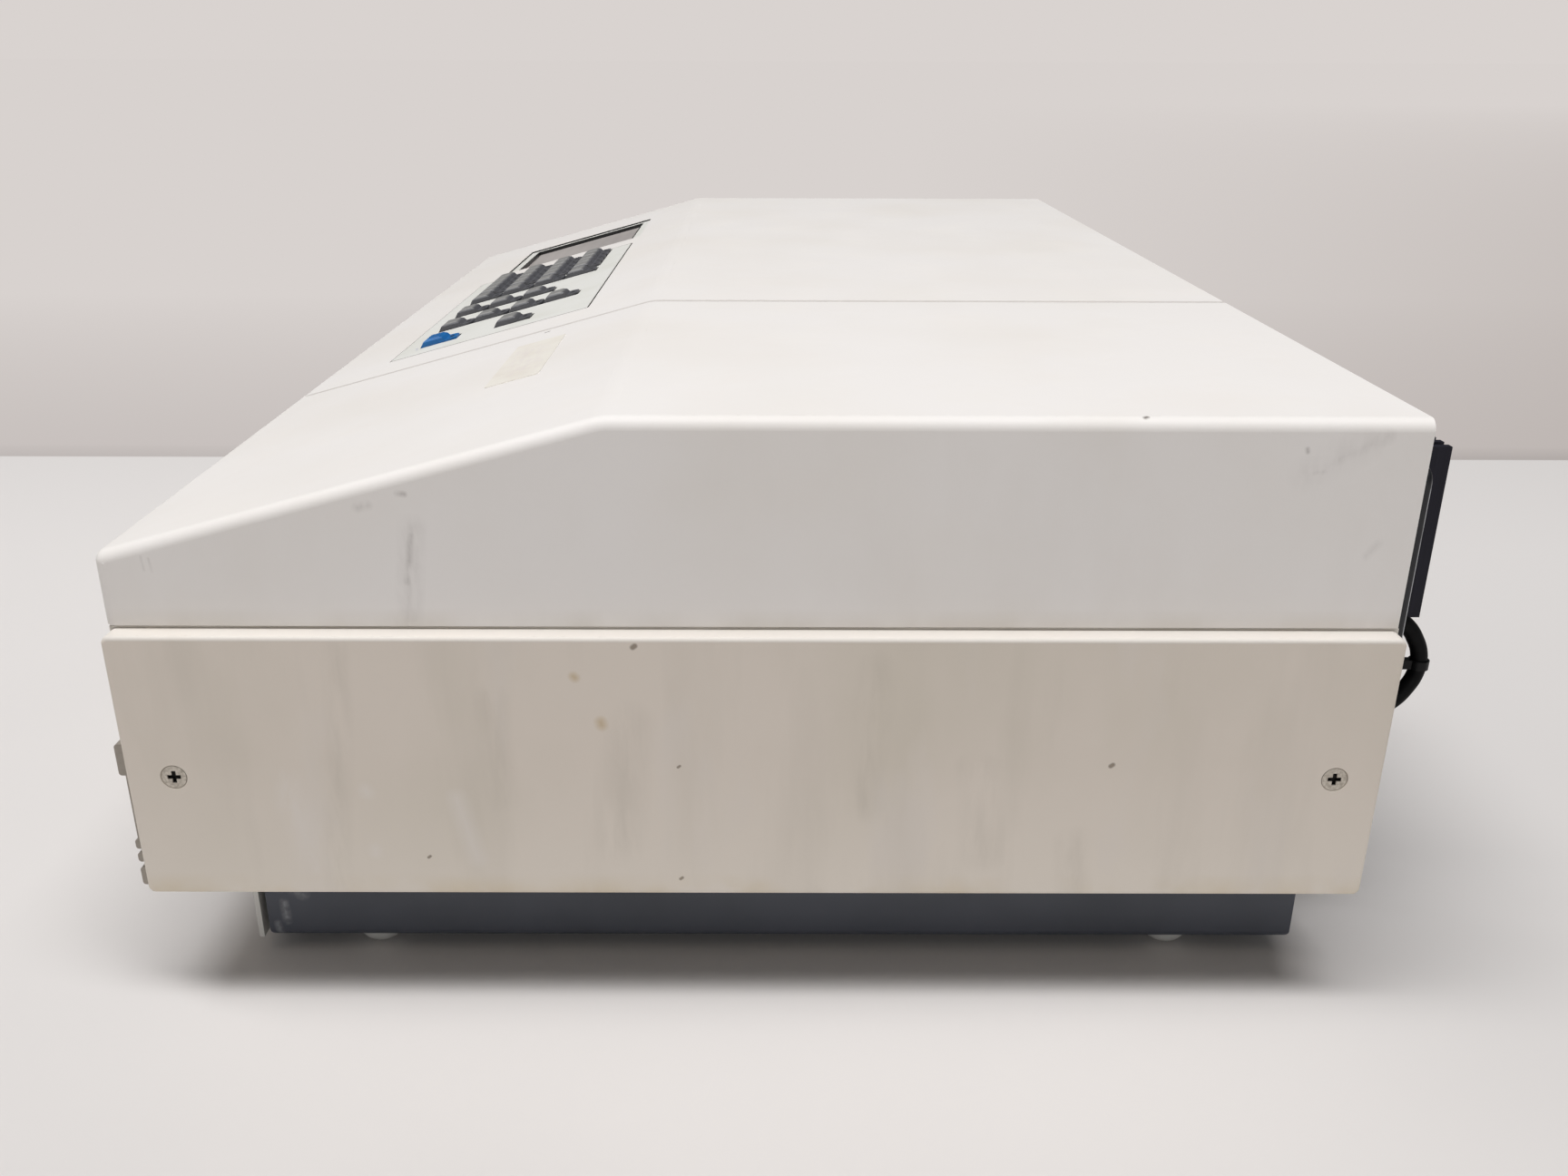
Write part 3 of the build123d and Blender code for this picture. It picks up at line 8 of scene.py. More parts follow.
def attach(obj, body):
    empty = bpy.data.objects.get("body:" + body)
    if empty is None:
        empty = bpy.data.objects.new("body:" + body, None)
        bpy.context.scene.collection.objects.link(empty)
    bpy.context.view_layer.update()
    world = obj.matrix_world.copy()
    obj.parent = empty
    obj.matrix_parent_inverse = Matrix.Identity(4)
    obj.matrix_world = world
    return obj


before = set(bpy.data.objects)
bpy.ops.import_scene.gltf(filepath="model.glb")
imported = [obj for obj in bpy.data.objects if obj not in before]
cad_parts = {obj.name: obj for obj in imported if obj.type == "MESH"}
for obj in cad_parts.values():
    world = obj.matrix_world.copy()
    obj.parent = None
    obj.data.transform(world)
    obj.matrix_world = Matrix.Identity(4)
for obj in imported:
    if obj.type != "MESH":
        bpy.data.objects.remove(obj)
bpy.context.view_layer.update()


# Camera. It stands beside the right end of the instrument and looks along it, a little downwards.
# The shift holds the small amount by which the frame was off the lens's axis.
picture_width = 1728
camera_place = Vector((0.5546, -0.0098, 0.2394))
camera_yaw, camera_pitch, camera_roll = radians(0.107), radians(21.752), radians(-0.175)
focal_pixels = 1489.0
forward = Vector(
    (-cos(camera_pitch) * cos(camera_yaw), cos(camera_pitch) * sin(camera_yaw), -sin(camera_pitch))
)
right = Vector((sin(camera_yaw), cos(camera_yaw), 0))
down = forward.cross(right)
across = right * cos(camera_roll) + down * sin(camera_roll)
below = down * cos(camera_roll) - right * sin(camera_roll)
lens = bpy.data.cameras.new("camera")
lens.sensor_width = 36.0
lens.lens = focal_pixels / picture_width * lens.sensor_width
lens.shift_x = 0.011
lens.clip_start = 0.01
camera = bpy.data.objects.new("camera", lens)
camera_turn = Matrix((across, -below, -forward)).transposed().to_4x4()
camera.matrix_world = Matrix.Translation(camera_place) @ camera_turn
bpy.context.scene.collection.objects.link(camera)
bpy.context.scene.camera = camera
bpy.context.scene.view_settings.view_transform = "Standard"


# Table and light. A plain pale table top runs on, far away, into a plain pale backdrop. Painted light
# makes the table paler on its far side, and painted shade darkens the backdrop near the table and
# towards the right. A long soft lamp hangs overhead, and two weak ones stand for the rest of the room.
class Value:
    """A socket that takes part in sums. Each sum adds a Math node beside its own."""

    def __init__(self, nodes, socket):
        self.nodes = nodes
        self.socket = socket

    def maths(self, operation, *others, clamp=False):
        values = dict(enumerate((self,) + others))
        return self.nodes.node("ShaderNodeMath", {"operation": operation, "use_clamp": clamp}, values)

    def __add__(self, other):
        return self.maths("ADD", other)

    def __radd__(self, other):
        return self.maths("ADD", other)

    def __sub__(self, other):
        return self.maths("SUBTRACT", other)

    def __rsub__(self, other):
        return self.nodes.node("ShaderNodeMath", {"operation": "SUBTRACT"}, {0: other, 1: self})

    def __mul__(self, other):
        return self.maths("MULTIPLY", other)

    def __rmul__(self, other):
        return self.maths("MULTIPLY", other)

    def __truediv__(self, other):
        return self.maths("DIVIDE", other)

    def __rtruediv__(self, other):
        return self.nodes.node("ShaderNodeMath", {"operation": "DIVIDE"}, {0: other, 1: self})

    def __pow__(self, other):
        return self.maths("POWER", other)

    def size(self):
        return self.maths("ABSOLUTE")

    def least(self, other):
        return self.maths("MINIMUM", other)

    def most(self, other):
        return self.maths("MAXIMUM", other)

    def held(self):
        return self.maths("ADD", 0.0, clamp=True)

    def over(self, low, high):
        """0 below low and 1 above high, with an even rise between them."""
        return ((self - low) / (high - low)).held()


def tint(red, green, blue):
    """A colour as a screen shows it, from 0 to 255, turned into what the shader takes."""
    parts = []
    for part in (red, green, blue):
        part /= 255
        parts.append(part / 12.92 if part <= 0.04045 else ((part + 0.055) / 1.055) ** 2.4)
    return (*parts, 1.0)


class Nodes:
    """The nodes of a material or of the room."""

    def __init__(self, tree):
        self.tree = tree

    def put(self, socket, value):
        if isinstance(value, Value):
            self.tree.links.new(value.socket, socket)
        else:
            socket.default_value = value

    def node(self, kind, settings=None, values=None, out=0):
        made = self.tree.nodes.new(kind)
        for name, value in (settings or {}).items():
            setattr(made, name, value)
        for name, value in (values or {}).items():
            self.put(made.inputs[name], value)
        return Value(self, made.outputs[out])


class Finish(Nodes):
    """One material. Places in it are in millimetres, in the instrument's own frame."""

    def __init__(self, name, colour, roughness, **settings):
        self.material = bpy.data.materials.new(name)
        self.material.use_nodes = True
        super().__init__(self.material.node_tree)
        self.shader = self.tree.nodes["Principled BSDF"]
        self.set("Base Color", colour)
        self.set("Roughness", roughness)
        for socket, value in settings.items():
            self.set(socket.replace("_", " ").title().replace("Ior", "IOR"), value)
        spot = self.node("ShaderNodeTexCoord", out="Object")
        self.spot = self.node(
            "ShaderNodeVectorMath", {"operation": "SCALE"}, {"Vector": spot, "Scale": 1000.0}
        )
        self.x, self.y, self.z = (
            self.node("ShaderNodeSeparateXYZ", None, {"Vector": self.spot}, out=axis) for axis in "XYZ"
        )

    def set(self, socket, value):
        self.put(self.shader.inputs[socket], value)

    def blend(self, mask, first, second):
        """The first colour where the mask is 0, and the second where it is 1."""
        values = {0: mask, 6: first, 7: second}
        return self.node("ShaderNodeMix", {"data_type": "RGBA"}, values, out=2)

    def stretched(self, stretch, shift=0.0):
        """The place, drawn out or shortened along each axis, and moved to another part of a noise."""
        kind = "ShaderNodeVectorMath"
        scaled = self.node(kind, {"operation": "MULTIPLY"}, {0: self.spot, 1: stretch})
        return self.node(kind, {"operation": "ADD"}, {0: scaled, 1: (shift,) * 3})

    def noise(self, per_mm, detail=3.0, stretch=(1, 1, 1), shift=0.0):
        values = {"Vector": self.stretched(stretch, shift), "Scale": per_mm, "Detail": detail}
        return self.node("ShaderNodeTexNoise", None, values)

    def mottle(self, per_mm, first, second, detail=3.0):
        """Sets the colour to a cloudy mix of two tones."""
        cloud = self.noise(per_mm, detail).over(0.4, 0.7)
        self.set("Base Color", self.blend(cloud, first, second))

    def specks(self, pitch, radius, share, stretch=(1, 1, 1), shift=0.0):
        """Small round dots, one to a cell of the pitch, kept in a share of the cells."""
        settings = {"feature": "F1"}
        values = {"Vector": self.stretched(stretch, shift), "Scale": 1 / pitch}
        apart = self.node("ShaderNodeTexVoronoi", settings, values, out="Distance") * pitch
        chance = self.node("ShaderNodeTexVoronoi", settings, values, out="Color")
        pick = self.node("ShaderNodeSeparateColor", None, {"Color": chance})
        return (1 - apart.over(radius * 0.6, radius)) * (1 - pick.over(share - 0.01, share))

    def stroke(self, plane, start, end, width):
        """A soft-edged mark along a line on two of the axes."""
        first, second = (getattr(self, axis) for axis in plane)
        run = (end[0] - start[0], end[1] - start[1])
        length = run[0] ** 2 + run[1] ** 2
        first, second = first - start[0], second - start[1]
        along = ((first * run[0] + second * run[1]) / length).held() if length else 0.0
        gap = (first - along * run[0]) ** 2.0 + (second - along * run[1]) ** 2.0
        return (1 - (gap ** 0.5) / width).held()

    def bump(self, height, distance_mm, strength=1.0):
        values = {"Strength": strength, "Distance": distance_mm / 1000, "Height": height}
        self.set("Normal", self.node("ShaderNodeBump", None, values))

    def dress(self, *names):
        for name in names:
            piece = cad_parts[name] if isinstance(name, str) else name
            if not piece.material_slots:
                piece.data.materials.append(self.material)
            for slot in piece.material_slots:
                slot.material = self.material


def mesh_piece(name, points, faces, smooth=False):
    mesh = bpy.data.meshes.new(name)
    mesh.from_pydata([Vector(point) / 1000 for point in points], [], faces)
    mesh.update()
    for face in mesh.polygons:
        face.use_smooth = smooth
    piece = bpy.data.objects.new(name, mesh)
    bpy.context.scene.collection.objects.link(piece)
    return piece


wall_line = -266.0
floor_reach = 30000.0
floor_corners = [
    (x * floor_reach, y * floor_reach, 0) for x, y in ((-1, -1), (1, -1), (1, 1), (-1, 1))
]
floor = mesh_piece("table_top", floor_corners, [(0, 1, 2, 3)])
table = Finish("table_white", tint(217, 213, 211), 0.55)
past_line = wall_line - table.x
cloud = table.noise(0.004, 2.0)
worktop = table.blend(cloud.over(0.35, 0.7), tint(220, 216, 214), tint(213, 209, 207))
# Painted light: the table top is painted paler on its far side, beyond the instrument.
worktop = table.blend((350.0 - table.x).over(0.0, 450.0), worktop, tint(231, 227, 225))
# Painted shade on the backdrop: darker near the table's edge, and darker again towards the right.
far_tone = table.blend(past_line.over(0.0, 600.0), tint(199, 192, 189), tint(216, 210, 207))
backdrop_shade_right = (table.y / (past_line + 820.0)).over(0.1, 0.6) * (1 - past_line.over(300.0, 6000.0))
far_tone = table.blend(backdrop_shade_right * 0.6, far_tone, tint(184, 176, 172))
table.set("Base Color", table.blend(past_line.over(-1.0, 1.0), worktop, far_tone))
table.bump(table.noise(0.6, 4.0), 0.05, 0.2)
far_away = ((table.x ** 2.0 + table.y ** 2.0) ** 0.5).over(1100.0, 2600.0)
backdrop_tone = table.blend(past_line.over(-1.0, 1.0), tint(226, 221, 218), far_tone)
backdrop = table.node("ShaderNodeEmission", None, {"Color": backdrop_tone})
seen_directly = table.node("ShaderNodeLightPath", out="Is Camera Ray").most(
    table.node("ShaderNodeLightPath", out="Is Glossy Ray")
)
as_backdrop = past_line.over(0.0, 30.0).most(far_away) * seen_directly
lit_table = Value(table, table.shader.outputs[0])
shown = table.node("ShaderNodeMixShader", None, {0: as_backdrop, 1: lit_table, 2: backdrop})
table.put(table.tree.nodes["Material Output"].inputs["Surface"], shown)
table.dress(floor)

world = bpy.data.worlds.new("room")
world.use_nodes = True
room = Nodes(world.node_tree)
soft_fill = world.node_tree.nodes["Background"]
room.put(soft_fill.inputs["Color"], (1.0, 0.99, 0.98, 1))
room.put(soft_fill.inputs["Strength"], 0.10)
plain_wall = room.node("ShaderNodeBackground", None, {"Color": tint(217, 211, 208)})
seen_by_camera = room.node("ShaderNodeLightPath", out="Is Camera Ray")
fill_or_wall = {0: seen_by_camera, 1: Value(room, soft_fill.outputs[0]), 2: plain_wall}
surroundings = room.node("ShaderNodeMixShader", None, fill_or_wall)
room.put(world.node_tree.nodes["World Output"].inputs["Surface"], surroundings)
bpy.context.scene.world = world
for name, place, reach, power in (
    ("lamp_above", (0.55, -0.15, 3.0), (3.0, 0.8), 95.0),
    ("lamp_room", (2.5, 0.1, 0.5), (1.6, 1.6), 8.0),
    ("lamp_front", (0.5, -1.6, 1.3), (1.4, 1.4), 2.5),
):
    light = bpy.data.lights.new(name, "AREA")
    light.shape = "RECTANGLE"
    light.size, light.size_y = reach
    light.energy = power
    lamp = bpy.data.objects.new(name, light)
    lamp.location = place
    lamp.rotation_euler = (Vector((0, 0, 0.1)) - lamp.location).to_track_quat("-Z", "Y").to_euler()
    bpy.context.scene.collection.objects.link(lamp)


# Base and side panels. Thick structural mouldings. The panels' beige has yellowed and is marked by
# old splashes that ran down and dried, with a few specks; two screws hold each to the base.
base = Finish("base_moulding", tint(222, 217, 209), 0.5)
base.mottle(0.03, tint(224, 219, 211), tint(212, 206, 196))
base.bump(base.noise(1.5, 3.0), 0.05, 0.5)
base.dress("base_frame")

panel_face = 255.0
side_plane = "yz"
panels = Finish("panel_beige", tint(219, 209, 198), 0.55, specular_ior_level=0.3)
runs = panels.noise(0.05, 4.0, (1, 1, 0.16)).over(0.5, 0.72)
patches = panels.noise(0.02, 3.0, (1, 1, 0.6), 7.0).over(0.42, 0.68)
pale = panels.noise(0.045, 4.0, (1, 1, 0.35), 21.0).over(0.58, 0.7)
aged = panels.blend(patches, tint(226, 216, 205), tint(218, 209, 196))
# Painted light: each panel is painted paler towards its lower edge.
aged = panels.blend((72.0 - panels.z).over(0.0, 36.0) * 0.7, aged, tint(231, 223, 212))
aged = panels.blend(runs * 0.36, aged, tint(204, 196, 184))
aged = panels.blend(pale * 0.5, aged, tint(225, 217, 209))
splash_edge = panels.noise(0.3, 2.0, (1, 1, 0.4)).over(0.3, 0.6)
splash = panels.stroke(side_plane, (-131, 66), (-126, 42), 5.5) * splash_edge
for start, end, width in (
    ((-111, 64.5), (-110.6, 63.5), 2.6),
    ((-110.3, 47), (-110.3, 45.6), 2.4),
    ((-88, 62), (-84, 44), 3.6),
):
    splash = splash.most(panels.stroke(side_plane, start, end, width))
aged = panels.blend(splash * 0.6, aged, tint(230, 223, 216))
shade = panels.stroke(side_plane, (-43.7, 82.7), (-47.3, 48.5), 8.0)
for start, end, width in (
    ((44.1, 70.0), (46.7, 46.0), 7.0),
    ((69.9, 48.8), (71.1, 35.0), 6.0),
    ((-77.2, 90.0), (-76.0, 62.0), 5.0),
    ((-113.4, 104.0), (-121.0, 36.0), 4.4),
    ((18.0, 98.0), (16.0, 60.0), 6.0),
):
    shade = shade.most(panels.stroke(side_plane, start, end, width))
streaky = panels.noise(0.22, 4.0, (1, 1, 0.2), 3.0).over(0.34, 0.62)
aged = panels.blend(shade * streaky * 0.3, aged, tint(189, 181, 169))
grime = panels.specks(34.0, 0.4, 0.2, (0.2, 1, 1)) * 0.7
for spot, width in (
    ((-41.8, 104.2), 0.9),
    ((77.6, 71.7), 0.8),
    ((-31.5, 71.1), 0.45),
    ((-31.5, 38.0), 0.55),
    ((-96.7, 44.4), 0.5),
):
    fleck = panels.stroke(side_plane, spot, (spot[0] + 0.5, spot[1] + 0.4), width) * 1.8
    grime = grime.most(fleck.held())
aged = panels.blend(grime * 0.75, aged, tint(118, 104, 88))
stain = panels.stroke(side_plane, (-56.6, 96.4), (-56.2, 96.0), 1.6).most(
    panels.stroke(side_plane, (-50.4, 83.9), (-50.2, 83.0), 2.0)
)
aged = panels.blend(stain * 0.7, aged, tint(196, 172, 132))
low_edge = (40.0 - panels.z).over(0.0, 7.0) * panels.noise(0.06, 3.0).over(0.4, 0.65)
aged = panels.blend(low_edge * 0.6, aged, tint(214, 198, 168))
# Painted highlight: the panel's top ledge is painted paler than its face.
panel_ledge = 105.3
ledge_highlight = (panels.z - panel_ledge).over(0.0, 0.7) * (1 - 0.25 * runs)
aged = panels.blend(ledge_highlight, aged, tint(222, 216, 209))
screw_places, screw_height, screw_radius = (-159.0, 134.7), 67.9, 3.25
screw_rim = 0.0
for place in screw_places:
    reach = ((panels.y - place) ** 2.0 + (panels.z - screw_height) ** 2.0) ** 0.5
    screw_rim = (1 - (reach - screw_radius).over(0.0, 0.25)) + screw_rim
aged = panels.blend(screw_rim * 0.8, aged, tint(134, 122, 106))
panels.set("Base Color", aged)
panels.set("Roughness", 0.52 + 0.12 * patches + 0.1 * runs)
panels.bump(panels.noise(1.8, 4.0) + 0.25 * panels.noise(0.25, 2.0), 0.05, 0.35)
panels.dress("right_side_panel", "left_side_panel")

heads = Finish("screw_plating", tint(196, 190, 180), 0.32, metallic=0.75)
head_depth = panel_face - 0.2 - heads.x.size()
dirty = head_depth.over(0.12, 0.5)
dull = heads.noise(1.4, 3.0)
plated = heads.blend(dull.over(0.35, 0.7), tint(206, 199, 188), tint(168, 160, 148))
heads.set("Base Color", heads.blend(dirty, plated, tint(26, 22, 18)))
heads.set("Metallic", 0.7 - 0.6 * dirty)
heads.set("Roughness", 0.34 + 0.4 * dirty + 0.15 * dull)
heads.bump(heads.noise(4.0, 2.0), 0.03, 0.4)
heads.dress("side_panel_screws")


# Tray, front strip and feet. The tray is folded sheet steel in blue-grey paint, scuffed at the front
# corner. A thin light strip stands off its front on pads, and four pale soft feet carry it.
tray = Finish("tray_blue_grey", tint(64, 68, 78), 0.42)
tray_tone = tray.blend(tray.noise(0.03, 3.0).over(0.35, 0.7), tint(66, 70, 80), tint(57, 61, 70))
scuff = tray.stroke(side_plane, (-146.0, 27.5), (-145.2, 22.0), 2.6)
for start, end, width in (
    ((-144.4, 16.5), (-144.2, 10.5), 1.7),
    ((-138.5, 26.0), (-136.0, 24.0), 3.4),
    ((-141.0, 21.0), (-139.0, 19.5), 2.6),
    ((-147.0, 9.5), (-146.6, 7.0), 1.4),
):
    scuff = scuff.most(tray.stroke(side_plane, start, end, width))
scuff = (scuff * (0.35 + tray.noise(0.5, 4.0).over(0.36, 0.62)) * 0.5).held()
rub = tray.noise(0.12, 5.0, (1, 0.15, 1), 4.0).over(0.66, 0.8) * (9.0 - tray.z).over(0.0, 4.0)
tray_tone = tray.blend(scuff.most(rub * 0.4), tray_tone, tint(150, 152, 156))
tray.set("Base Color", tray_tone)
tray.set("Roughness", 0.40 + 0.3 * scuff)
tray.bump(tray.noise(2.2, 3.0), 0.03, 0.4)
tray.dress("chassis_tray")

strip = Finish("strip_light_grey", tint(202, 201, 197), 0.45)
strip.mottle(0.05, tint(206, 205, 201), tint(190, 188, 183))
strip.bump(strip.noise(2.0, 3.0), 0.03, 0.3)
strip.dress("front_plinth")

soft = Finish("foot_pale", tint(214, 214, 210), 0.35, transmission_weight=0.25)
sole = (2.2 - soft.z).over(0.0, 2.0)
soft.set("Base Color", soft.blend(sole, tint(220, 220, 216), tint(176, 172, 166)))
soft.bump(soft.noise(1.2, 3.0), 0.05, 0.3)
soft.dress("feet")


# Front fascia. A darker grey strip that stands out of the front, with a lip for the fingers above
# and three ribs along its lower edge; dust sits in the grooves.
fascia = Finish("fascia_grey", tint(161, 154, 144), 0.5)
groove = fascia.noise(0.5, 3.0, (0.05, 1, 1)).over(0.45, 0.7)
fascia.set("Base Color", fascia.blend(groove * 0.5, tint(163, 155, 145), tint(147, 139, 128)))
fascia.bump(fascia.noise(1.8, 4.0), 0.05, 0.4)
fascia.dress("front_fascia")


# Rear panel. Sheet steel folded into a shallow pan, black, with a bright line painted along the outer
# bend for worn paint and the bend's highlight. Small pan-head screws hold it to the base.
pan_side, pan_face, pan_top, pan_bend = 246.0, 150.1, 147.0, 1.4
rear = Finish("rear_black", tint(30, 31, 36), 0.38)
past_side = rear.x.size() - (pan_side - pan_bend)
past_top = rear.z - (pan_top - pan_bend)
past_face = rear.y - (pan_face - pan_bend)
# The bright line along the outer bend is partly worn paint and partly a painted highlight.
bend_line = past_side.most(past_top).least(past_face).over(0.75, 1.0)
worn_bend_and_highlight = bend_line * (0.35 + rear.noise(0.35, 4.0, (1, 1, 0.4)).over(0.36, 0.5)).held()
rear.set("Base Color", rear.blend(worn_bend_and_highlight, tint(22, 23, 28), tint(222, 225, 230)))
rear.set("Metallic", worn_bend_and_highlight * 0.3)
rear.set("Roughness", 0.38 + 0.12 * rear.noise(0.2, 3.0))
rear.bump(rear.noise(2.5, 3.0), 0.03, 0.4)
rear.dress("rear_panel")


def turned(name, outline, steps=32):
    """A turned piece from points of radius and height about the Z axis, in millimetres."""
    points = []
    faces = []
    for radius, height in outline:
        for step in range(steps):
            angle = 2 * pi * step / steps
            points.append((radius * cos(angle), radius * sin(angle), height))
    for ring in range(len(outline) - 1):
        for step in range(steps):
            following = (step + 1) % steps
            a, b = ring * steps + step, ring * steps + following
            faces.append((a, b, b + steps, a + steps))
    faces.append(tuple(reversed(range(steps))))
    faces.append(tuple(range((len(outline) - 1) * steps, len(outline) * steps)))
    return mesh_piece(name, points, faces, smooth=True)


def set_on(piece, places, body):
    """Copies a small piece to each place, given as matrices, and joins the copies into one mesh."""
    mesh = bmesh.new()
    for place in places:
        start = len(mesh.verts)
        mesh.from_mesh(piece.data)
        mesh.verts.ensure_lookup_table()
        bmesh.ops.transform(mesh, matrix=place, verts=mesh.verts[start:])
    mesh.to_mesh(piece.data)
    mesh.free()
    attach(piece, body)


def facing(direction, place):
    """A matrix that turns +Z to a direction and moves the origin to a place in millimetres."""
    turn = Vector(direction).to_track_quat("Z", "Y").to_matrix().to_4x4()
    return Matrix.Translation(Vector(place) / 1000) @ turn


pan_head = [(1.0, -0.6), (3.2, 0.0), (3.2, 0.5), (2.9, 1.2), (2.1, 1.7), (0.9, 1.9), (0.9, 1.0)]
rear_screw = turned("rear_panel_screws", pan_head)
rear_spots = ((-236, 44), (-236, 138), (-60, 44), (-60, 140), (236, 44), (236, 138))
outward = (0, 1, 0)
rear_places = [facing(outward, (x, pan_face, z)) for x, z in rear_spots]
set_on(rear_screw, rear_places, "instrument")
zinc = Finish("screw_zinc", tint(150, 150, 148), 0.35, metallic=0.9)
zinc.set("Roughness", 0.28 + 0.25 * zinc.noise(1.5, 3.0))
zinc.dress(rear_screw, "hinge_pins")


# Heat sink, lead and fittings. A black anodised extrusion with upright fins carries the lamps'
# heat away; a short round lead loops from the gland to the plug hood, with a cable tie round it.
anodised = Finish("anodised_black", tint(26, 26, 37), 0.42, metallic=0.2, specular_ior_level=0.3)
drawn = anodised.noise(0.7, 3.0, (1, 1, 0.03))
anodised.set("Base Color", anodised.blend(drawn.over(0.35, 0.7), tint(22, 21, 33), tint(31, 30, 43)))
anodised.set("Roughness", 0.36 + 0.18 * drawn)
anodised.bump(drawn, 0.02, 0.3)
anodised.dress("heat_sink")

rubber = Finish("lead_black", tint(6, 6, 7), 0.5, specular_ior_level=0.12)
rubber.mottle(0.4, tint(5, 5, 6), tint(10, 10, 11))
rubber.set("Roughness", 0.42 + 0.2 * rubber.noise(0.6, 3.0))
rubber.bump(rubber.noise(2.0, 3.0), 0.05, 0.5)
rubber.dress("jumper_lead")

hood = Finish("fittings_black", tint(11, 11, 12), 0.4, specular_ior_level=0.2)
hood.mottle(0.4, tint(10, 10, 11), tint(17, 17, 18))
hood.set("Roughness", 0.3 + 0.15 * hood.noise(0.8, 3.0))
hood.bump(hood.noise(2.0, 3.0), 0.03, 0.4)
hood.dress("lead_fittings", "mains_inlet", "power_switch")


# Sample compartment. The deck, tub and lamp cover are one matt black moulding, so that no stray
# light reaches the detector. The carriage is black anodised and slides on a rail in the tub.
tub = Finish("tub_matt_black", tint(38, 38, 39), 0.75)
tub.mottle(0.03, tint(37, 37, 38), tint(50, 49, 48))
tub.bump(tub.noise(0.9, 5.0), 0.12, 0.6)
tub.dress("sample_tub")

carriage = Finish("carriage_black", tint(26, 26, 28), 0.4, metallic=0.5)
milled = carriage.noise(0.9, 2.0, (1, 0.05, 1))
carriage.set("Base Color", carriage.blend(milled.over(0.4, 0.7), tint(24, 24, 26), tint(40, 40, 43)))
carriage.set("Roughness", 0.32 + 0.2 * milled)
carriage.bump(milled, 0.02, 0.4)
carriage.dress("cell_carriage", "filter_wheel")


# Optics. Painted castings hold the light paths. The lamps are fused silica, the source mirror is
# silvered on its face, and the grating is ruled aluminium on a machined table.
casting = Finish("casting_grey", tint(74, 76, 78), 0.55)
casting.mottle(0.05, tint(72, 74, 76), tint(88, 89, 90), 4.0)
casting.bump(casting.noise(0.8, 5.0), 0.15, 0.6)
casting.dress("monochromator_housing", "detector_housing")

silica = Finish("lamp_silica", tint(225, 225, 222), 0.12, transmission_weight=0.6, ior=1.46)
cap_low = 107.6
cap = (silica.z - cap_low).over(0.0, 0.4)
silica.set("Base Color", silica.blend(cap, tint(222, 224, 226), tint(206, 200, 188)))
silica.set("Roughness", 0.08 + 0.5 * cap)
silica.dress("lamps")

silvered = Finish("mirror_silver", tint(205, 206, 208), 0.08, metallic=1.0)
holder_top = 60.2
holder = (holder_top - silvered.z).over(0.0, 0.4)
silvered.set("Base Color", silvered.blend(holder, tint(220, 221, 223), tint(60, 60, 62)))
silvered.set("Roughness", 0.05 + 0.4 * holder)
silvered.dress("source_mirror")

ruled = Finish("grating_aluminium", tint(182, 183, 186), 0.28, metallic=1.0)
lines = ruled.noise(2.5, 1.0, (1, 1, 0.02))
ruled.set("Roughness", 0.2 + 0.2 * lines)
ruled.bump(lines, 0.02, 0.5)
ruled.dress("grating_turntable")


# Electronics. Green boards with black chips and bright ports, screwed to their posts, the key
# board with its domes, and a laminated transformer with two capacitors on a steel plate.
laminate = Finish("board_green", tint(34, 84, 52), 0.42)
board_low, board_top, chips_end, ports_start = 49.9, 51.7, 137.0, 139.5
winding = laminate.noise(0.35, 4.0)
tracks = winding.over(0.47, 0.5) * (1 - winding.over(0.52, 0.55))
green = laminate.blend(tracks * 0.7, tint(32, 82, 50), tint(70, 122, 78))
above = (laminate.z - board_top).over(0.0, 0.2)
chip = above * (chips_end - laminate.y).over(0.0, 0.5)
port = above * (laminate.y - ports_start).over(0.0, 0.4)
post = (board_low - laminate.z).over(0.0, 0.2)
green = laminate.blend(chip, green, tint(28, 28, 30))
green = laminate.blend(port, green, tint(168, 168, 170))
laminate.set("Base Color", laminate.blend(post, green, tint(196, 190, 170)))
laminate.set("Metallic", port * 0.9)
laminate.dress("main_board")

domes = Finish("key_board_green", tint(34, 84, 52), 0.5)
traces = domes.noise(0.3, 4.0).over(0.48, 0.52)
domes.set("Base Color", domes.blend(traces, tint(32, 82, 50), tint(52, 104, 66)))
domes.bump(domes.noise(1.0, 3.0), 0.05, 0.4)
domes.dress("key_board")

supply = Finish("supply_steel", tint(96, 92, 88), 0.5, metallic=0.4)
layers = supply.noise(1.6, 1.0, (0.02, 0.02, 1))
supply.set("Base Color", supply.blend(layers.over(0.4, 0.6), tint(86, 82, 78), tint(120, 114, 106)))
supply.bump(layers, 0.1, 0.6)
supply.dress("power_supply")


# Main cover and sample lid. Off-white structural mouldings with a very fine texture, one screwed
# down and one hinged. They have aged unevenly, the lid's side carries rubbed grey marks and a few
# nicks, and the walls of the window and of the keypad's opening are painted dark as shade.
seam_middle = 92.6
slope_front, slope_low, slope_rise, slope_run = -171.1, 126.2, 33.8, 123.0
slope_length = (slope_rise**2 + slope_run**2) ** 0.5
slope_sin, slope_cos = slope_rise / slope_length, slope_run / slope_length
window_low, window_high = (-203.0, 34.7), (-127.0, 103.0)
keypad_low, keypad_high = (-107.1, 25.4), (66.8, 101.6)
lid_side_start, foot_top, seam_low, flat_top, opening_slack = 243.0, 112.5, 126.0, 158.0, 0.15
cover = Finish("cover_off_white", tint(239, 235, 231), 0.55, specular_ior_level=0.25)
lid_side = (cover.x - lid_side_start).over(0.0, 4.0)
warm = cover.noise(0.012, 3.0).over(0.4, 0.68)
cloudy = cover.noise(0.04, 4.0, (1, 1, 0.4), 11.0).over(0.5, 0.75)
